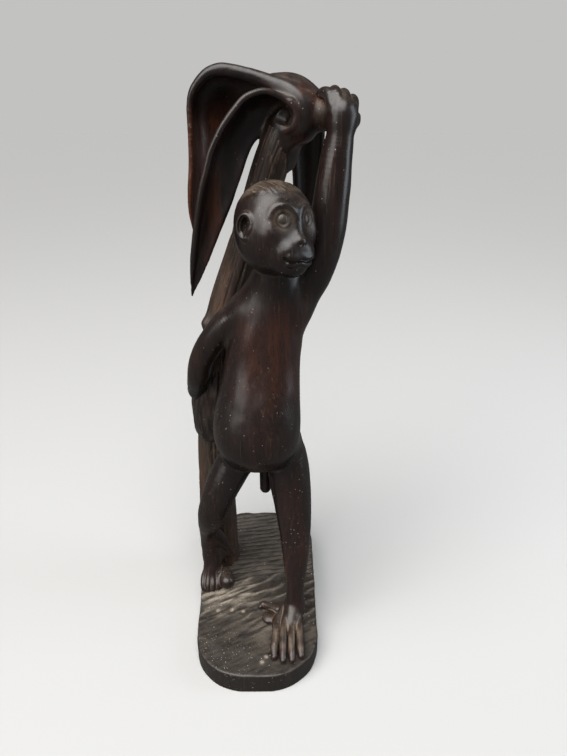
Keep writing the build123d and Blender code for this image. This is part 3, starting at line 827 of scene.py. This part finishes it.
# Left hand: back of the hand in front of the branch, four fingers over it, thumb at its end
left_hand = Form()
left_hand.limb([(54.0, -0.5, 388, 7.6), (54.2, -0.8, 393, 7.0)], 3.0)
left_hand.ball((54.6, -1.0, 391.5), (8.8, 6.4, 10.0), 3.0)
LEFT_FINGERS = (
    ((49.5, -2.5, 394, 4.2), (47.4, 1.5, 401, 3.8), (44.6, 7, 403.4, 3.5), (42.4, 13, 402, 3.3),
     (41.6, 19, 398, 3.0), (42, 22, 392, 2.7)),
    ((52.5, -3, 395, 4.2), (51, 1, 401.6, 3.8), (50.2, 7, 404, 3.5), (49.8, 14, 403.6, 3.3),
     (49.4, 20.5, 399, 3.0), (49.4, 23, 392, 2.7)),
    ((56, -3, 394, 4.0), (56, 1, 400.4, 3.6), (55.8, 7, 402.6, 3.3), (55.5, 14, 402.2, 3.2),
     (55.2, 20.5, 398, 3.0), (55, 22.8, 391, 2.6)),
    ((59.4, -2, 391, 3.8), (61, 1.4, 397, 3.4), (61.4, 7, 399.6, 3.1), (61.2, 13.5, 399.4, 3.0),
     (60.6, 19.5, 396, 2.8), (60.4, 22, 390, 2.5)),
)
for rows in LEFT_FINGERS:
    left_hand.limb(rows, 1.1, 19)
left_hand.limb([(59.5, 0, 386, 3.8), (62.8, 5, 387.5, 3.4), (64.0, 10.0, 390, 3.0)], 2.0)

# Right hand: palm on the trunk, fingers round its outer side
right_hand = Form()
right_hand.limb([(-47, 21, 197, 7.2), (-47.5, 25, 193, 7.0)], 3.0)
TRUNK_AT_HAND = np.array((-30.5, 28.0))
for level in (200.5, 195.6, 190.7, 185.8):
    bend = [
        (TRUNK_AT_HAND[0] - 17.6 * math.cos(turn), TRUNK_AT_HAND[1] + 17.2 * math.sin(turn), level - 1.5 * turn, size)
        for turn, size in ((-0.45, 3.6), (-0.1, 3.5), (0.35, 3.3), (0.8, 3.2), (1.25, 3.0), (1.6, 2.6))
    ]
    right_hand.limb(bend, 1.2, 16)

# Legs: the right one folds at the knee, and its heel is lifted
right_leg = Form().limb(
    [(-10, -5, 162, 13), (-18, -9, 149, 14.2), (-28, -14, 130, 13.4), (-35.5, -16.5, 110, 11.8),
     (-39.5, -12, 94, 9.6), (-42.5, -5, 82, 7.4), (-44.0, 0, 70, 6.6), (-44.2, 4, 56, 7.0), (-43.5, 6, 42, 7.0)]
)
right_leg.limb([(-43, 1, 77, 5.0), (-37, 6, 62, 6.2), (-30.5, 10.5, 47, 4.8), (-25.0, 12.5, 37.5, 2.4)], 4.0)
right_leg.limb([(-43, 6, 46, 6.0), (-34, 10, 41, 4.6), (-25.0, 12.5, 37.5, 2.4)], 4.0)
left_leg = Form().limb(
    [(20, -6, 166, 14), (22.6, -7.5, 150, 15.8), (24.8, -11, 132, 15.9), (27.0, -16, 113, 14.4),
     (28.6, -21, 95, 12.6), (29.2, -26, 77, 10.8), (29.2, -31.5, 60, 8.8), (29.0, -35.5, 46, 7.3), (29, -38, 34, 7.2)]
)

# Feet: a broad instep whose toe bones run up to the ankle, and a big toe at the side
left_foot = Form()
left_foot.limb([(28, -28, 24, 6.5), (28.4, -36, 28, 8.2), (26.5, -45, 26, 8.0), (24.4, -54, 23, 6.0)], 3.0)
left_foot.ball((22.8, -50, 21.5), (12.6, 13.0, 5.2), 4.0)
LEFT_TOES = (
    ((20.0, -39, 29.0), (14.6, -52, 26.0), (13.2, -63, 24.6), (12.6, -73, 22.4), (12.6, -79, 20.2)),
    ((24.0, -39, 30.5), (20.4, -53, 27.2), (19.4, -65, 25.6), (19.2, -76, 22.6), (19.2, -82, 20.2)),
    ((28.0, -39, 30.5), (26.6, -53, 27.0), (26.0, -65, 25.2), (25.8, -76, 22.4), (26.0, -81.5, 20.2)),
    ((31.6, -39, 29.0), (32.2, -52, 25.6), (32.4, -63, 24.2), (32.6, -73, 22.0), (33.0, -78, 20.0)),
)
for rows in LEFT_TOES:
    sizes = (2.6, 2.7, 2.9, 2.9, 2.5)
    left_foot.limb([(*row, size) for row, size in zip(rows, sizes)], 0.9)
left_foot.ball((8.4, -41.5, 19.6), (6.4, 6.4, 3.4), 1.2)
left_foot.limb([(15, -36, 22, 3.2), (8.0, -31.5, 20.8, 2.9), (2.6, -28.8, 20.2, 2.7), (0.6, -31.0, 19.8, 2.2)], 1.0)
right_foot = Form()
right_foot.limb([(-41, 6, 44, 6.6), (-42, 4, 36, 7.6), (-43.6, 0, 27, 7.4), (-44.4, -4, 23, 5.6)], 3.0)
RIGHT_TOES = (
    ((-44.8, 1, 38), (-49.0, -3.5, 28), (-49.8, -8.5, 22.6), (-49.6, -11, 19.6)),
    ((-43.0, 0, 38), (-45.2, -5, 28), (-45.6, -10, 23.0), (-45.4, -12.5, 19.6)),
    ((-41.2, 0, 38), (-41.2, -5, 28), (-41.2, -9.5, 22.8), (-41.0, -12, 19.6)),
    ((-39.4, 1, 37), (-37.2, -4, 28), (-36.8, -8.5, 22.4), (-36.8, -10.5, 19.6)),
)
for rows in RIGHT_TOES:
    sizes = (2.4, 2.7, 2.6, 2.2)
    right_foot.limb([(*row, size) for row, size in zip(rows, sizes)], 0.8)
right_foot.limb([(-36, 6, 25, 6.0), (-31.5, -2.5, 25.4, 6.4), (-29.2, -7.5, 24.4, 6.6)], 1.5)

# Tail
tail = Form().limb(
    [(4.8, -3.4, 169.5, 5.5), (4.8, 4.4, 164.3, 5.4), (4.8, 8.6, 155.5, 5.15), (4.8, 8.6, 144.5, 4.9),
     (4.8, 5.6, 131, 4.6), (4.8, 1.4, 117.5, 4.3)]
)

# Eyes: low domes
eyes = {
    name: Form().ball(surface - outward * 6.0, EYEBALL, 0.0) for name, (surface, outward) in eye_places.items()
}

# Which forms meet, and how softly
BLENDS = {
    ("torso", "head"): 2.5, ("torso", "right_arm"): 5.0, ("torso", "left_arm"): 9.0,
    ("torso", "right_leg"): 7.0, ("torso", "left_leg"): 7.0, ("torso", "tail"): 3.0,
    ("right_arm", "right_hand"): 4.0, ("left_arm", "left_hand"): 4.0,
    ("right_leg", "right_foot"): 5.0, ("left_leg", "left_foot"): 5.0,
    ("head", "right_ear"): 2.0, ("head", "left_ear"): 2.0, ("left_arm", "left_ear"): 0.0,
    ("right_leg", "left_leg"): 3.0,
}
FORMS = {
    "torso": torso, "head": head, **ears, **eyes, "right_arm": right_arm, "left_arm": left_arm,
    "right_hand": right_hand, "left_hand": left_hand, "right_leg": right_leg, "left_leg": left_leg,
    "right_foot": right_foot, "left_foot": left_foot, "tail": tail,
}
STEPS = {
    "torso": 0.9, "head": 0.42, "right_ear": 0.35, "left_ear": 0.4, "right_eye": 0.3, "left_eye": 0.3,
    "right_arm": 0.7, "left_arm": 0.7, "right_hand": 0.45, "left_hand": 0.4, "right_leg": 0.75,
    "left_leg": 0.75, "right_foot": 0.45, "left_foot": 0.45, "tail": 0.6,
}
OVERLAP = 0.5
FOOT_SINK = 1.5


def foot_dust(points, normals):
    """Dust on top of the toes and the instep, not on the dark tips."""
    patches = np.clip(0.55 + 0.8 * lattice_noise(points / (2.0, 7.0, 4.0), 45), 0, 1)
    toes = np.clip((-50 - points[:, 1]) / 8, 0.25, 1) * np.clip((points[:, 1] + 78) / 4, 0, 1)
    return 0.55 * patches * toes * np.clip((normals[:, 2] - 0.35) / 0.4, 0, 1)


def eye_dust(points, normals):
    """An even, thin film of dust."""
    return np.full(len(points), 0.16)


SETTLED = {"head": head_dust, "left_foot": foot_dust, "right_eye": eye_dust, "left_eye": eye_dust}


def neighbours(name):
    """The forms that blend with a form, with their blend sizes."""
    found = []
    for (first, second), blend in BLENDS.items():
        if name == first:
            found.append((second, blend))
        elif name == second:
            found.append((first, blend))
    return found


for name, form in FORMS.items():
    low, high = form.limits()
    grid = Grid(low - 3, high + 3, STEPS[name])
    own = form.field(grid)
    whole = own
    others = grid.empty()
    for other, blend in neighbours(name):
        field = FORMS[other].field(grid)
        whole = soft_min(whole, field, blend)
        others = np.minimum(others, field)
    if name.endswith("foot"):
        x, y, z = grid.xyz()
        whole = np.maximum(whole, BASE_TOP - FOOT_SINK - z)
    whole = surface_relief(whole, grid, tool_marks)
    if name == "head":
        whole = surface_relief(whole, grid, hair_relief)
    cell = own - others - OVERLAP
    sculpted(
        f"{name}_carved", np.maximum(whole, cell), whole, grid, figure_wood, SETTLED.get(name)
    )


# Leaves: a near rim and a far edge, root to tip, with a bulge between them

def leaf_form(rim, far, bulge_share, thickness, rim_thickness, rim_width, tip_rim=None, spacing=0.8):
    """Samples of a drooping leaf between two edge lines; its rim may thin out past the middle."""
    length = np.linalg.norm(np.diff(np.asarray(rim, float), axis=0), axis=1).sum()
    along_count = int(length / spacing)
    rim = smooth_rows(rim, along_count)
    far = smooth_rows(far, along_count)
    across = far - rim
    width = np.linalg.norm(across, axis=1)
    along = np.gradient((rim + far) / 2, axis=0)
    out = np.cross(across, along)
    out /= np.linalg.norm(out, axis=1, keepdims=True) + 1e-9
    out[0], out[-1] = out[1], out[-2]
    across_count = int(width.max() / spacing)
    share = np.linspace(0, 1, across_count)[None, :, None]
    lift = (bulge_share * width)[:, None, None] * 4 * share * (1 - share)
    middle = rim[:, None] * (1 - share) + far[:, None] * share + out[:, None] * lift
    step_along = np.gradient(middle, axis=0)
    step_across = np.gradient(middle, axis=1)
    step_across[-1] = step_across[-2]
    normals = np.cross(step_along, step_across)
    normals /= np.linalg.norm(normals, axis=2, keepdims=True) + 1e-9
    edges = np.zeros_like(middle)
    unit = step_across / (np.linalg.norm(step_across, axis=2, keepdims=True) + 1e-9)
    edges[:, 0], edges[:, -1] = -unit[:, 0], unit[:, -1]
    ends = np.zeros_like(middle)
    ends[0] = -along[0] / np.linalg.norm(along[0])
    ends[-1] = along[-1] / np.linalg.norm(along[-1])
    from_rim = np.linspace(0, 1, across_count)[None] * width[:, None]
    from_edge = np.minimum(from_rim, width[:, None] - from_rim)
    past_middle = np.clip((np.linspace(0, 1, along_count) - 0.40) / 0.22, 0, 1)
    rolled = rim_thickness + past_middle * ((tip_rim or rim_thickness) - rim_thickness)
    radii = thickness / 2 + (rolled - thickness)[:, None] / 2 * np.exp(-((from_edge / rim_width) ** 2))
    taper = np.clip(width / (3 * rim_thickness), 0.3, 1)
    radii = radii * taper[:, None]
    return Form().sheet(
        middle.reshape(-1, 3), normals.reshape(-1, 3), edges.reshape(-1, 3), ends.reshape(-1, 3), radii.ravel(), 0.0
    )


front_leaf = leaf_form(
    rim=(
        (26.6, 7, 387), (27.6, 5.5, 391.5), (24.5, 4, 397), (15.8, 2, 402), (8.8, 0, 404), (2.4, -2, 403),
        (-3.9, -4, 400), (-10, -6, 393.6), (-16, -8, 386), (-20.5, -9, 378.5), (-24.4, -9.6, 370.5),
        (-27.8, -10, 359.5), (-30.6, -10, 350.5), (-34.2, -9.6, 334), (-36.6, -9, 322), (-39.4, -7.4, 306),
        (-41.4, -6, 292), (-42, -5, 281),
    ),
    far=(
        (25, 16, 384), (23, 18, 386), (20, 19.5, 387), (15, 20, 386.6), (11, 19, 385), (8, 18, 383.4), (4.7, 17, 381.4),
        (1, 16, 377.6), (-2.3, 14.5, 373), (-5.5, 13, 366), (-8.4, 11, 358), (-12.6, 9, 347.5),
        (-15.4, 8, 340), (-20.4, 5.5, 329), (-25, 3.5, 319), (-31.6, 0.3, 304), (-37.5, -2.6, 290), (-42, -5, 281),
    ),
    bulge_share=0.24, thickness=3.2, rim_thickness=3.8, rim_width=3.0,
)
rear_leaf = leaf_form(
    rim=(
        (32, 12, 394), (30.5, 12.5, 398.5), (27.8, 13, 401.6), (20.5, 14, 405.6), (13.2, 15, 408.2), (5.4, 16, 411),
        (-2.5, 16.5, 413.4), (-10.9, 17, 415.2), (-18.7, 17.5, 416), (-26, 18, 414.2), (-31, 18, 410.6),
        (-35.2, 18, 406), (-37.8, 18, 401), (-39.0, 18.5, 395), (-39.3, 19, 387), (-39.6, 20, 376.4),
        (-40.6, 21, 360.7), (-42.8, 22, 343), (-43.6, 23, 331), (-43.0, 25, 321), (-41.9, 28, 311),
    ),
    far=(
        (27, 26, 386), (25, 28.5, 388), (22, 31, 389), (17.3, 33, 389.5), (13, 36, 390.5), (8, 38, 391),
        (3, 39.5, 390.3), (-1.5, 40.5, 388.5), (-6, 41.3, 386), (-9.5, 42, 382), (-12.5, 42.5, 378),
        (-15, 42.8, 374), (-17, 43, 370), (-19, 43, 366), (-21, 42.6, 361.5), (-23.5, 42, 356),
        (-27.5, 41, 347), (-32, 39, 336.5), (-36.5, 35.6, 327), (-40, 31.4, 318), (-41.9, 28, 311),
    ),
    bulge_share=0.17, thickness=3.6, rim_thickness=7.6, rim_width=3.0, tip_rim=3.8,
)
back_leaf = leaf_form(
    rim=(
        (19, 22, 405), (13.5, 24, 409), (10.5, 28, 411.4), (13, 34, 411.6), (17, 41, 407), (21, 47, 397.5),
        (24.2, 51, 385), (26.8, 54, 370.5), (28.4, 57, 352), (29.4, 60, 332), (30.5, 63, 312), (32, 65.5, 291),
    ),
    far=(
        (40, 16, 394), (40.5, 21, 399.6), (41.5, 27, 402), (43, 33.5, 401.6), (44.3, 40, 397), (45.2, 46, 388.5),
        (45.6, 50.5, 377), (45.4, 54, 363.5), (44.4, 57.5, 346), (42, 60.5, 328), (37.6, 63.5, 308), (32, 65.5, 291),
    ),
    bulge_share=0.17, thickness=3.6, rim_thickness=4.8, rim_width=4.0,
)

# Crown and branch: the rear leaf's rim rolls over the crown, and a lip curls round a dark hole
crown = Form()
crown.ball((29.0, 15.5, 387.5), (13.5, 12.5, 14.0), 0.0)
crown.ball((33.0, 14.5, 393.5), (11.0, 10.5, 11.5), 5.0)
crown.limb([(45.5, 13, 384, 2.0), (38, 11, 384, 2.2), (30, 10, 378, 2.0), (24, 11, 374, 1.4)], 3.0)
crown.limb([(23, 19, 380, 9.0), (24, 21, 371, 6.5), (24, 23, 362, 3.6)], 4.0)
crown.limb([(0, 17, 413.0, 2.0), (12, 15, 408.6, 4.0), (22, 11.5, 405, 5.2), (29, 8.5, 399.5, 5.8), (32, 8.5, 393, 6.0), (31, 9.5, 386, 6.0)], 3.0)
crown.limb([(24.5, 3.5, 398.3, 2.2), (27.6, 3.6, 392.4, 2.4), (27.0, 4.2, 387.4, 2.4), (24.0, 6, 383.8, 2.2), (20, 8, 382.4, 1.6)], 1.5)
hole = Form().limb([(0, 7, 391, 4.6), (9, 6.5, 392.5, 5.4), (17, 7, 391.5, 5.0), (22.0, 7.5, 389, 3.8), (24.4, 9.5, 388, 2.8)])
branch_stub = Form().limb([(34, 14, 391, 9.8), (43, 13.4, 391.6, 9.8), (50, 13, 392.3, 9.2), (56.5, 12.6, 392.6, 8.6)], 2.0)

TRUNK_ROWS = (
    (-38.6, 32, 16.5, 17.0), (-38.6, 31, 60, 16.3), (-37.6, 30, 110, 15.6), (-35.6, 29, 155, 15.2),
    (-31.6, 28, 205, 15.0), (-23.4, 27, 255, 14.6), (-6.6, 26, 305, 13.6), (8, 23, 352, 12.2),
    (15, 20, 372, 11.7), (19, 18.6, 383, 10.5),
)
trunk = Form().limb(TRUNK_ROWS, 2.0)
TREE_FORMS = {
    "front_leaf": front_leaf, "rear_leaf": rear_leaf, "back_leaf": back_leaf, "crown": crown,
    "branch_stub": branch_stub,
}
TREE_BLENDS = {"crown": 0.0, "branch_stub": 1.5, "front_leaf": 3.0, "rear_leaf": 3.5, "back_leaf": 4.0}
TREE_STEP = 0.8
limits = [form.limits() for form in TREE_FORMS.values()]
tree_grid = Grid(
    np.min([low for low, high in limits], axis=0) - 3, np.max([high for low, high in limits], axis=0) + 3, TREE_STEP
)
tree_fields = {name: form.field(tree_grid) for name, form in TREE_FORMS.items()}
tree_whole = soft_min(tree_fields["crown"], trunk.field(tree_grid), 5.0)
for name, blend in TREE_BLENDS.items():
    tree_whole = soft_min(tree_whole, tree_fields[name], blend)
tree_whole = soft_cut(tree_whole, hole.field(tree_grid), 1.2)
for name, own in tree_fields.items():
    others = np.min([field for other, field in tree_fields.items() if other != name], axis=0)
    slot = "tree_wood" if name == "branch_stub" else "leaf_wood"
    material = tree_wood if slot == "tree_wood" else leaf_wood
    cell = own - others - OVERLAP
    sculpted(f"{name}_carved", np.maximum(np.maximum(tree_whole, cell), own - 3.0), tree_whole, tree_grid, material)

# Trunk: a leaning tube with long bark grooves and a knot

KNOT = np.array((-36.0, 21.0, 251.0))


def tube_piece(name, rows, ring_count, along_count, relief, material):
    """A closed tube along rows of x, y, z, radius, raised by a relief function of place, turn and height."""
    line = smooth_rows(rows, along_count)
    along = np.gradient(line[:, :3], axis=0)
    along /= np.linalg.norm(along, axis=1, keepdims=True)
    side = np.cross(np.array((0.0, 1.0, 0.0)), along)
    side /= np.linalg.norm(side, axis=1, keepdims=True)
    front = np.cross(along, side)
    turns = np.linspace(0, 2 * math.pi, ring_count, endpoint=False)
    spoke = side[:, None] * np.cos(turns)[None, :, None] + front[:, None] * np.sin(turns)[None, :, None]
    plain = line[:, None, :3] + spoke * line[:, None, 3:4]
    height = np.concatenate([[0], np.cumsum(np.linalg.norm(np.diff(line[:, :3], axis=0), axis=1))])
    raised, dust = relief(plain, turns, height)
    points = plain + spoke * raised[..., None]
    points[0, :, 2] = line[0, 2]
    ends = np.array([line[0, :3], line[-1, :3]])
    points = np.vstack([points.reshape(-1, 3), ends])
    ring = np.arange(along_count * ring_count).reshape(along_count, ring_count)
    nxt = np.roll(ring, -1, axis=1)
    quads = np.stack([ring[:-1], nxt[:-1], nxt[1:], ring[1:]], -1).reshape(-1, 4)
    foot, head_end = len(points) - 2, len(points) - 1
    caps = [(foot, b, a) for a, b in zip(ring[0], nxt[0])]
    caps += [(head_end, a, b) for a, b in zip(ring[-1], nxt[-1])]
    piece = new_piece(
        f"{name}_carved", points, [*quads.tolist(), *caps], material,
        dust=np.concatenate([dust.ravel(), [0, 0]]),
    )
    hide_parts(name)
    return piece


def bark_relief(plain, turns, height):
    """Grooves along the trunk, fading in and out, and one knot."""
    rows, cols = len(height), len(turns)
    around = np.stack([np.cos(turns), np.sin(turns)], 1) * 15.0
    spots = np.empty((rows, cols, 3))
    spots[..., :2] = around[None]
    spots[..., 2] = height[:, None]
    raised = np.zeros((rows, cols))
    for cell, stretch, depth, seed in ((5.0, 9.0, 1.1, 3), (2.4, 12.0, 0.7, 5)):
        scaled = (spots / np.array((cell, cell, cell * stretch))).reshape(-1, 3)
        ridge = 1 - np.abs(lattice_noise(scaled, seed)).reshape(rows, cols)
        raised -= depth * ridge**4
    dust = 0.15 * np.clip(-raised / 1.6, 0, 1)
    away = np.linalg.norm(plain - KNOT, axis=2)
    raised += 3.8 * np.exp(-((away / 5.0) ** 2))
    return raised, dust


tube_piece("trunk", TRUNK_ROWS, 150, 520, bark_relief, tree_wood)

# Old bark left under the hand

SHEATH_ROWS = (
    (-35.6, 29, 151, 15.6), (-35.4, 28.9, 155, 16.9), (-35.2, 28.0, 170, 18.2), (-34.8, 27.4, 183, 18.6),
    (-33.6, 27.3, 193, 18.0), (-32.4, 27.6, 204, 16.4), (-31.6, 28.0, 216, 13.6),
)


def sheath_relief(plain, turns, height):
    """A rough patch on the front and outer side that sinks into the trunk elsewhere."""
    rows, cols = len(height), len(turns)
    away = np.abs((turns - math.radians(235) + math.pi) % (2 * math.pi) - math.pi)
    cover = np.clip((math.radians(80) - away) / math.radians(18), 0, 1)
    spots = np.empty((rows, cols, 3))
    spots[..., 0] = np.cos(turns)[None] * 15
    spots[..., 1] = np.sin(turns)[None] * 15
    spots[..., 2] = height[:, None] / 5
    rough = lattice_noise((spots / 1.6).reshape(-1, 3), 11).reshape(rows, cols)
    edge = np.clip(height / 6.0, 0, 1)[:, None]
    raised = -4.0 * (1 - cover)[None] - 2.5 * (1 - edge) + 0.7 * rough
    return raised, 0.12 * np.clip(0.2 - rough, 0, 1)


tube_piece("bark_sheath", SHEATH_ROWS, 150, 60, sheath_relief, figure_wood)

# Base: a slab with gouge marks across its top

BASE_CORNER = 40.0
BASE_OUTLINE = np.array(((-47.2, -93.7), (47.2, -93.7), (47.2, 93.7), (-58.2, 93.7)))


def inset_outline(corners, inset):
    """The corners of a convex outline moved inwards."""
    result = []
    for before, here, after in zip(np.roll(corners, 1, 0), corners, np.roll(corners, -1, 0)):
        first = (here - before) / np.linalg.norm(here - before)
        second = (after - here) / np.linalg.norm(after - here)
        normal_first = np.array((-first[1], first[0]))
        normal_second = np.array((-second[1], second[0]))
        system = np.array((normal_first, normal_second))
        result.append(np.linalg.solve(system, (normal_first @ here + inset, normal_second @ here + inset)))
    return np.array(result)


def outline_field(x, y):
    """Distance to the rounded outline of the base."""
    corners = inset_outline(BASE_OUTLINE, BASE_CORNER)
    inner = np.full(np.broadcast_shapes(x.shape, y.shape), -np.inf, np.float32)
    outer = np.full(inner.shape, np.inf, np.float32)
    for a, b in zip(corners, np.roll(corners, -1, 0)):
        edge = (b - a) / np.linalg.norm(b - a)
        inner = np.maximum(inner, (x - a[0]) * edge[1] - (y - a[1]) * edge[0])
        along = np.clip(((x - a[0]) * edge[0] + (y - a[1]) * edge[1]), 0, np.linalg.norm(b - a))
        outer = np.minimum(outer, np.hypot(x - a[0] - edge[0] * along, y - a[1] - edge[1] * along))
    return np.where(inner > 0, outer, -outer) - BASE_CORNER


def scallop(phase):
    """Hollow gouge strokes with sharp ridges between them, from 0 to -1."""
    part = phase - np.floor(phase)
    return -4 * part * (1 - part)


def ripple(phase, width):
    """Narrow grooves between broad bands, from 0 to -1."""
    part = phase - np.floor(phase) - 0.5
    return -np.exp(-((part / width) ** 2))


def flat_noise(x, y, size_x, size_y, seed):
    """Noise over a plane at broadcastable places."""
    shape = np.broadcast_shapes(x.shape, y.shape)
    flat = np.stack(np.broadcast_arrays(x, y), -1).reshape(-1, 2)
    return lattice_noise(flat / np.array((size_x, size_y)), seed).reshape(shape)


def base_zones(y):
    """How much of the rear, middle and front tooling there is this far back."""
    rear = np.clip((y - 2) / 8, 0, 1)
    front = np.clip((-34 - y) / 14, 0, 1)
    return rear, np.maximum(1 - rear - front, 0), front


def rear_phase(x, y):
    """Which groove of the rear part a place is in."""
    return (y - 0.16 * x) / 5.4 + 0.30 * flat_noise(x, y, 18.0, 9.0, 21)


def middle_phase(x, y):
    """Which gouge stroke of the middle part a place is in."""
    return (y - 0.50 * x) / 11.0 + 0.45 * flat_noise(x, y, 18.0, 9.0, 21)


def base_relief(x, y):
    """How deep the tools have cut into the top."""
    rear, middle, front = base_zones(y)
    slow = flat_noise(x, y, 30.0, 22.0, 22)
    cut = 0.95 * rear * ripple(rear_phase(x, y), 0.20)
    cut = cut + 1.2 * middle * scallop(middle_phase(x, y))
    cut = cut + 0.5 * front * scallop((y + 0.3 * x) / 19.0 + 0.6 * slow)
    return cut + 0.25 * (slow - 1) + 0.12 * flat_noise(x, y, 3.5, 2.0, 23)


def base_top(x, y):
    """Height of the tooled top."""
    return BASE_HIGH[2] - 0.3 + base_relief(x, y)


BASE_SPOTS = ((3.3, -81.0), (6.2, -76.7), (-35.0, -32.0), (-23.4, -32.0), (-14.1, -33.1))


def base_dust_and_shade(points, normals):
    """Dust on the top round the feet, and a paler film on the bands between grooves and the ridges between gouge
    strokes, kept out of the grooves and stroke hollows as painted shade there.
    """
    x, y = points[:, 0], points[:, 1]
    rear, middle, front = base_zones(y)
    foot = 1.0 * np.exp(-(((x + 30) / 22) ** 2 + ((y + 14) / 17) ** 2))
    foot = foot + 0.35 * np.exp(-(((x - 16) / 24) ** 2 + ((y + 48) / 16) ** 2))
    # Painted shade: the grooves and the gouge hollows get no dust, and the bands and ridges between them do
    bands = rear * (0.30 + 0.30 * ripple(rear_phase(x, y), 0.26))
    strokes = middle * 0.55 * np.clip(1 + 1.4 * scallop(middle_phase(x, y)), 0, 1)
    fine = np.clip(0.65 + 0.75 * flat_noise(0.88 * x + 0.47 * y, 0.88 * y - 0.47 * x, 9.0, 1.8, 24), 0, 1)
    total = (foot + bands + strokes + 0.12 * front) * fine
    for spot_x, spot_y in BASE_SPOTS:
        total = total + 1.4 * np.exp(-(((x - spot_x) / 1.3) ** 2 + ((y - spot_y) / 1.3) ** 2))
    return total * np.clip((normals[:, 2] - 0.5) / 0.3, 0, 1)


def base_field(x, y, z):
    outline = outline_field(x, y)
    outline = outline + 0.35 + 0.35 * flat_noise(x, y, 11.0, 11.0, 31)
    slab = soft_cut(outline + 0 * z, base_top(x, y) - z, 2.0)
    return np.maximum(slab, -z)


base_grid = Grid(BASE_LOW - (2, 2, 2), BASE_HIGH + (2, 2, 2), 0.78)
x, y, z = base_grid.xyz()
base_value = base_field(x, y, z).astype(np.float32)
sculpted("base_carved", base_value, base_value, base_grid, base_wood, base_dust_and_shade)

# Stage: floor, light and camera

SEEN_PAPER = (0.54, 0.537, 0.529)
ROOM_PAPER = (0.11, 0.108, 0.105)
SEEN_WALL = (0.542, 0.539, 0.533)
ROOM_LIGHT = (0.10, 0.10, 0.104)


def seen_color(nodes, links, seen, other):
    """One colour where the camera looks straight at it, another for the light it gives."""
    path = nodes.new("ShaderNodeLightPath")
    mix = nodes.new("ShaderNodeMix")
    mix.data_type = "RGBA"
    mix.inputs["A"].default_value = (*other, 1)
    mix.inputs["B"].default_value = (*seen, 1)
    links.new(path.outputs["Is Camera Ray"], mix.inputs["Factor"])
    return mix.outputs["Result"]


def paper_material():
    """Pale matt paper, greyer in what it throws back on the carving."""
    material = bpy.data.materials.new("floor_paper")
    material.use_nodes = True
    nodes, links = material.node_tree.nodes, material.node_tree.links
    shader = nodes["Principled BSDF"]
    links.new(seen_color(nodes, links, SEEN_PAPER, ROOM_PAPER), shader.inputs["Base Color"])
    shader.inputs["Roughness"].default_value = 0.9
    shader.inputs["Specular IOR Level"].default_value = 0.1
    return material


floor_mesh = bpy.data.meshes.new("floor")
FLOOR_HALF = 8.0
floor_mesh.from_pydata(
    [(sx * FLOOR_HALF, sy * FLOOR_HALF, 0) for sx, sy in ((-1, -1), (1, -1), (1, 1), (-1, 1))], [], [(0, 1, 2, 3)]
)
floor = bpy.data.objects.new("floor", floor_mesh)
bpy.context.scene.collection.objects.link(floor)
floor_mesh.materials.append(paper_material())

world = bpy.data.worlds.new("studio")
world.use_nodes = True
bpy.context.scene.world = world
nodes, links = world.node_tree.nodes, world.node_tree.links
background = nodes["Background"]
background.inputs["Strength"].default_value = 1.0
links.new(seen_color(nodes, links, SEEN_WALL, ROOM_LIGHT), background.inputs["Color"])

MIDDLE = np.array((0.0, 0.0, 230.0))


def soft_lamp(name, place, size, power, color):
    """A square soft box that looks at the middle of the carving."""
    lamp = bpy.data.lights.new(name, "AREA")
    lamp.shape = "RECTANGLE"
    lamp.size, lamp.size_y = (part * MM for part in size)
    lamp.energy = power
    lamp.color = color
    holder = bpy.data.objects.new(name, lamp)
    holder.location = [part * MM for part in place]
    aim = Vector([part * MM for part in MIDDLE]) - holder.location
    holder.rotation_euler = aim.to_track_quat("-Z", "Y").to_euler()
    bpy.context.scene.collection.objects.link(holder)


soft_lamp("overhead", (-150, -350, 1300), (1000, 800), 6.0, (1.0, 0.98, 0.95))
soft_lamp("left_front", (-900, -700, 800), (700, 900), 6.6, (1.0, 0.97, 0.93))
soft_lamp("right_window", (1000, -60, 560), (420, 1000), 4.2, (0.82, 0.91, 1.0))

sky = bpy.data.lights.new("sky", "SUN")
sky.energy = 3.4
sky.angle = math.radians(70)
sky_holder = bpy.data.objects.new("sky", sky)
sky_holder.rotation_euler = (math.radians(28), math.radians(-14), 0)
bpy.context.scene.collection.objects.link(sky_holder)

camera_data = bpy.data.cameras.new("photo_view")
camera_data.sensor_width = 36.0
camera_data.lens = 27.05
camera = bpy.data.objects.new("photo_view", camera_data)
camera.location = [part * MM for part in (19.6, -373.4, 398.9)]
camera.rotation_euler = (math.radians(64), 0, 0)
bpy.context.scene.collection.objects.link(camera)
bpy.context.scene.camera = camera
bpy.context.scene.view_settings.view_transform = "Standard"
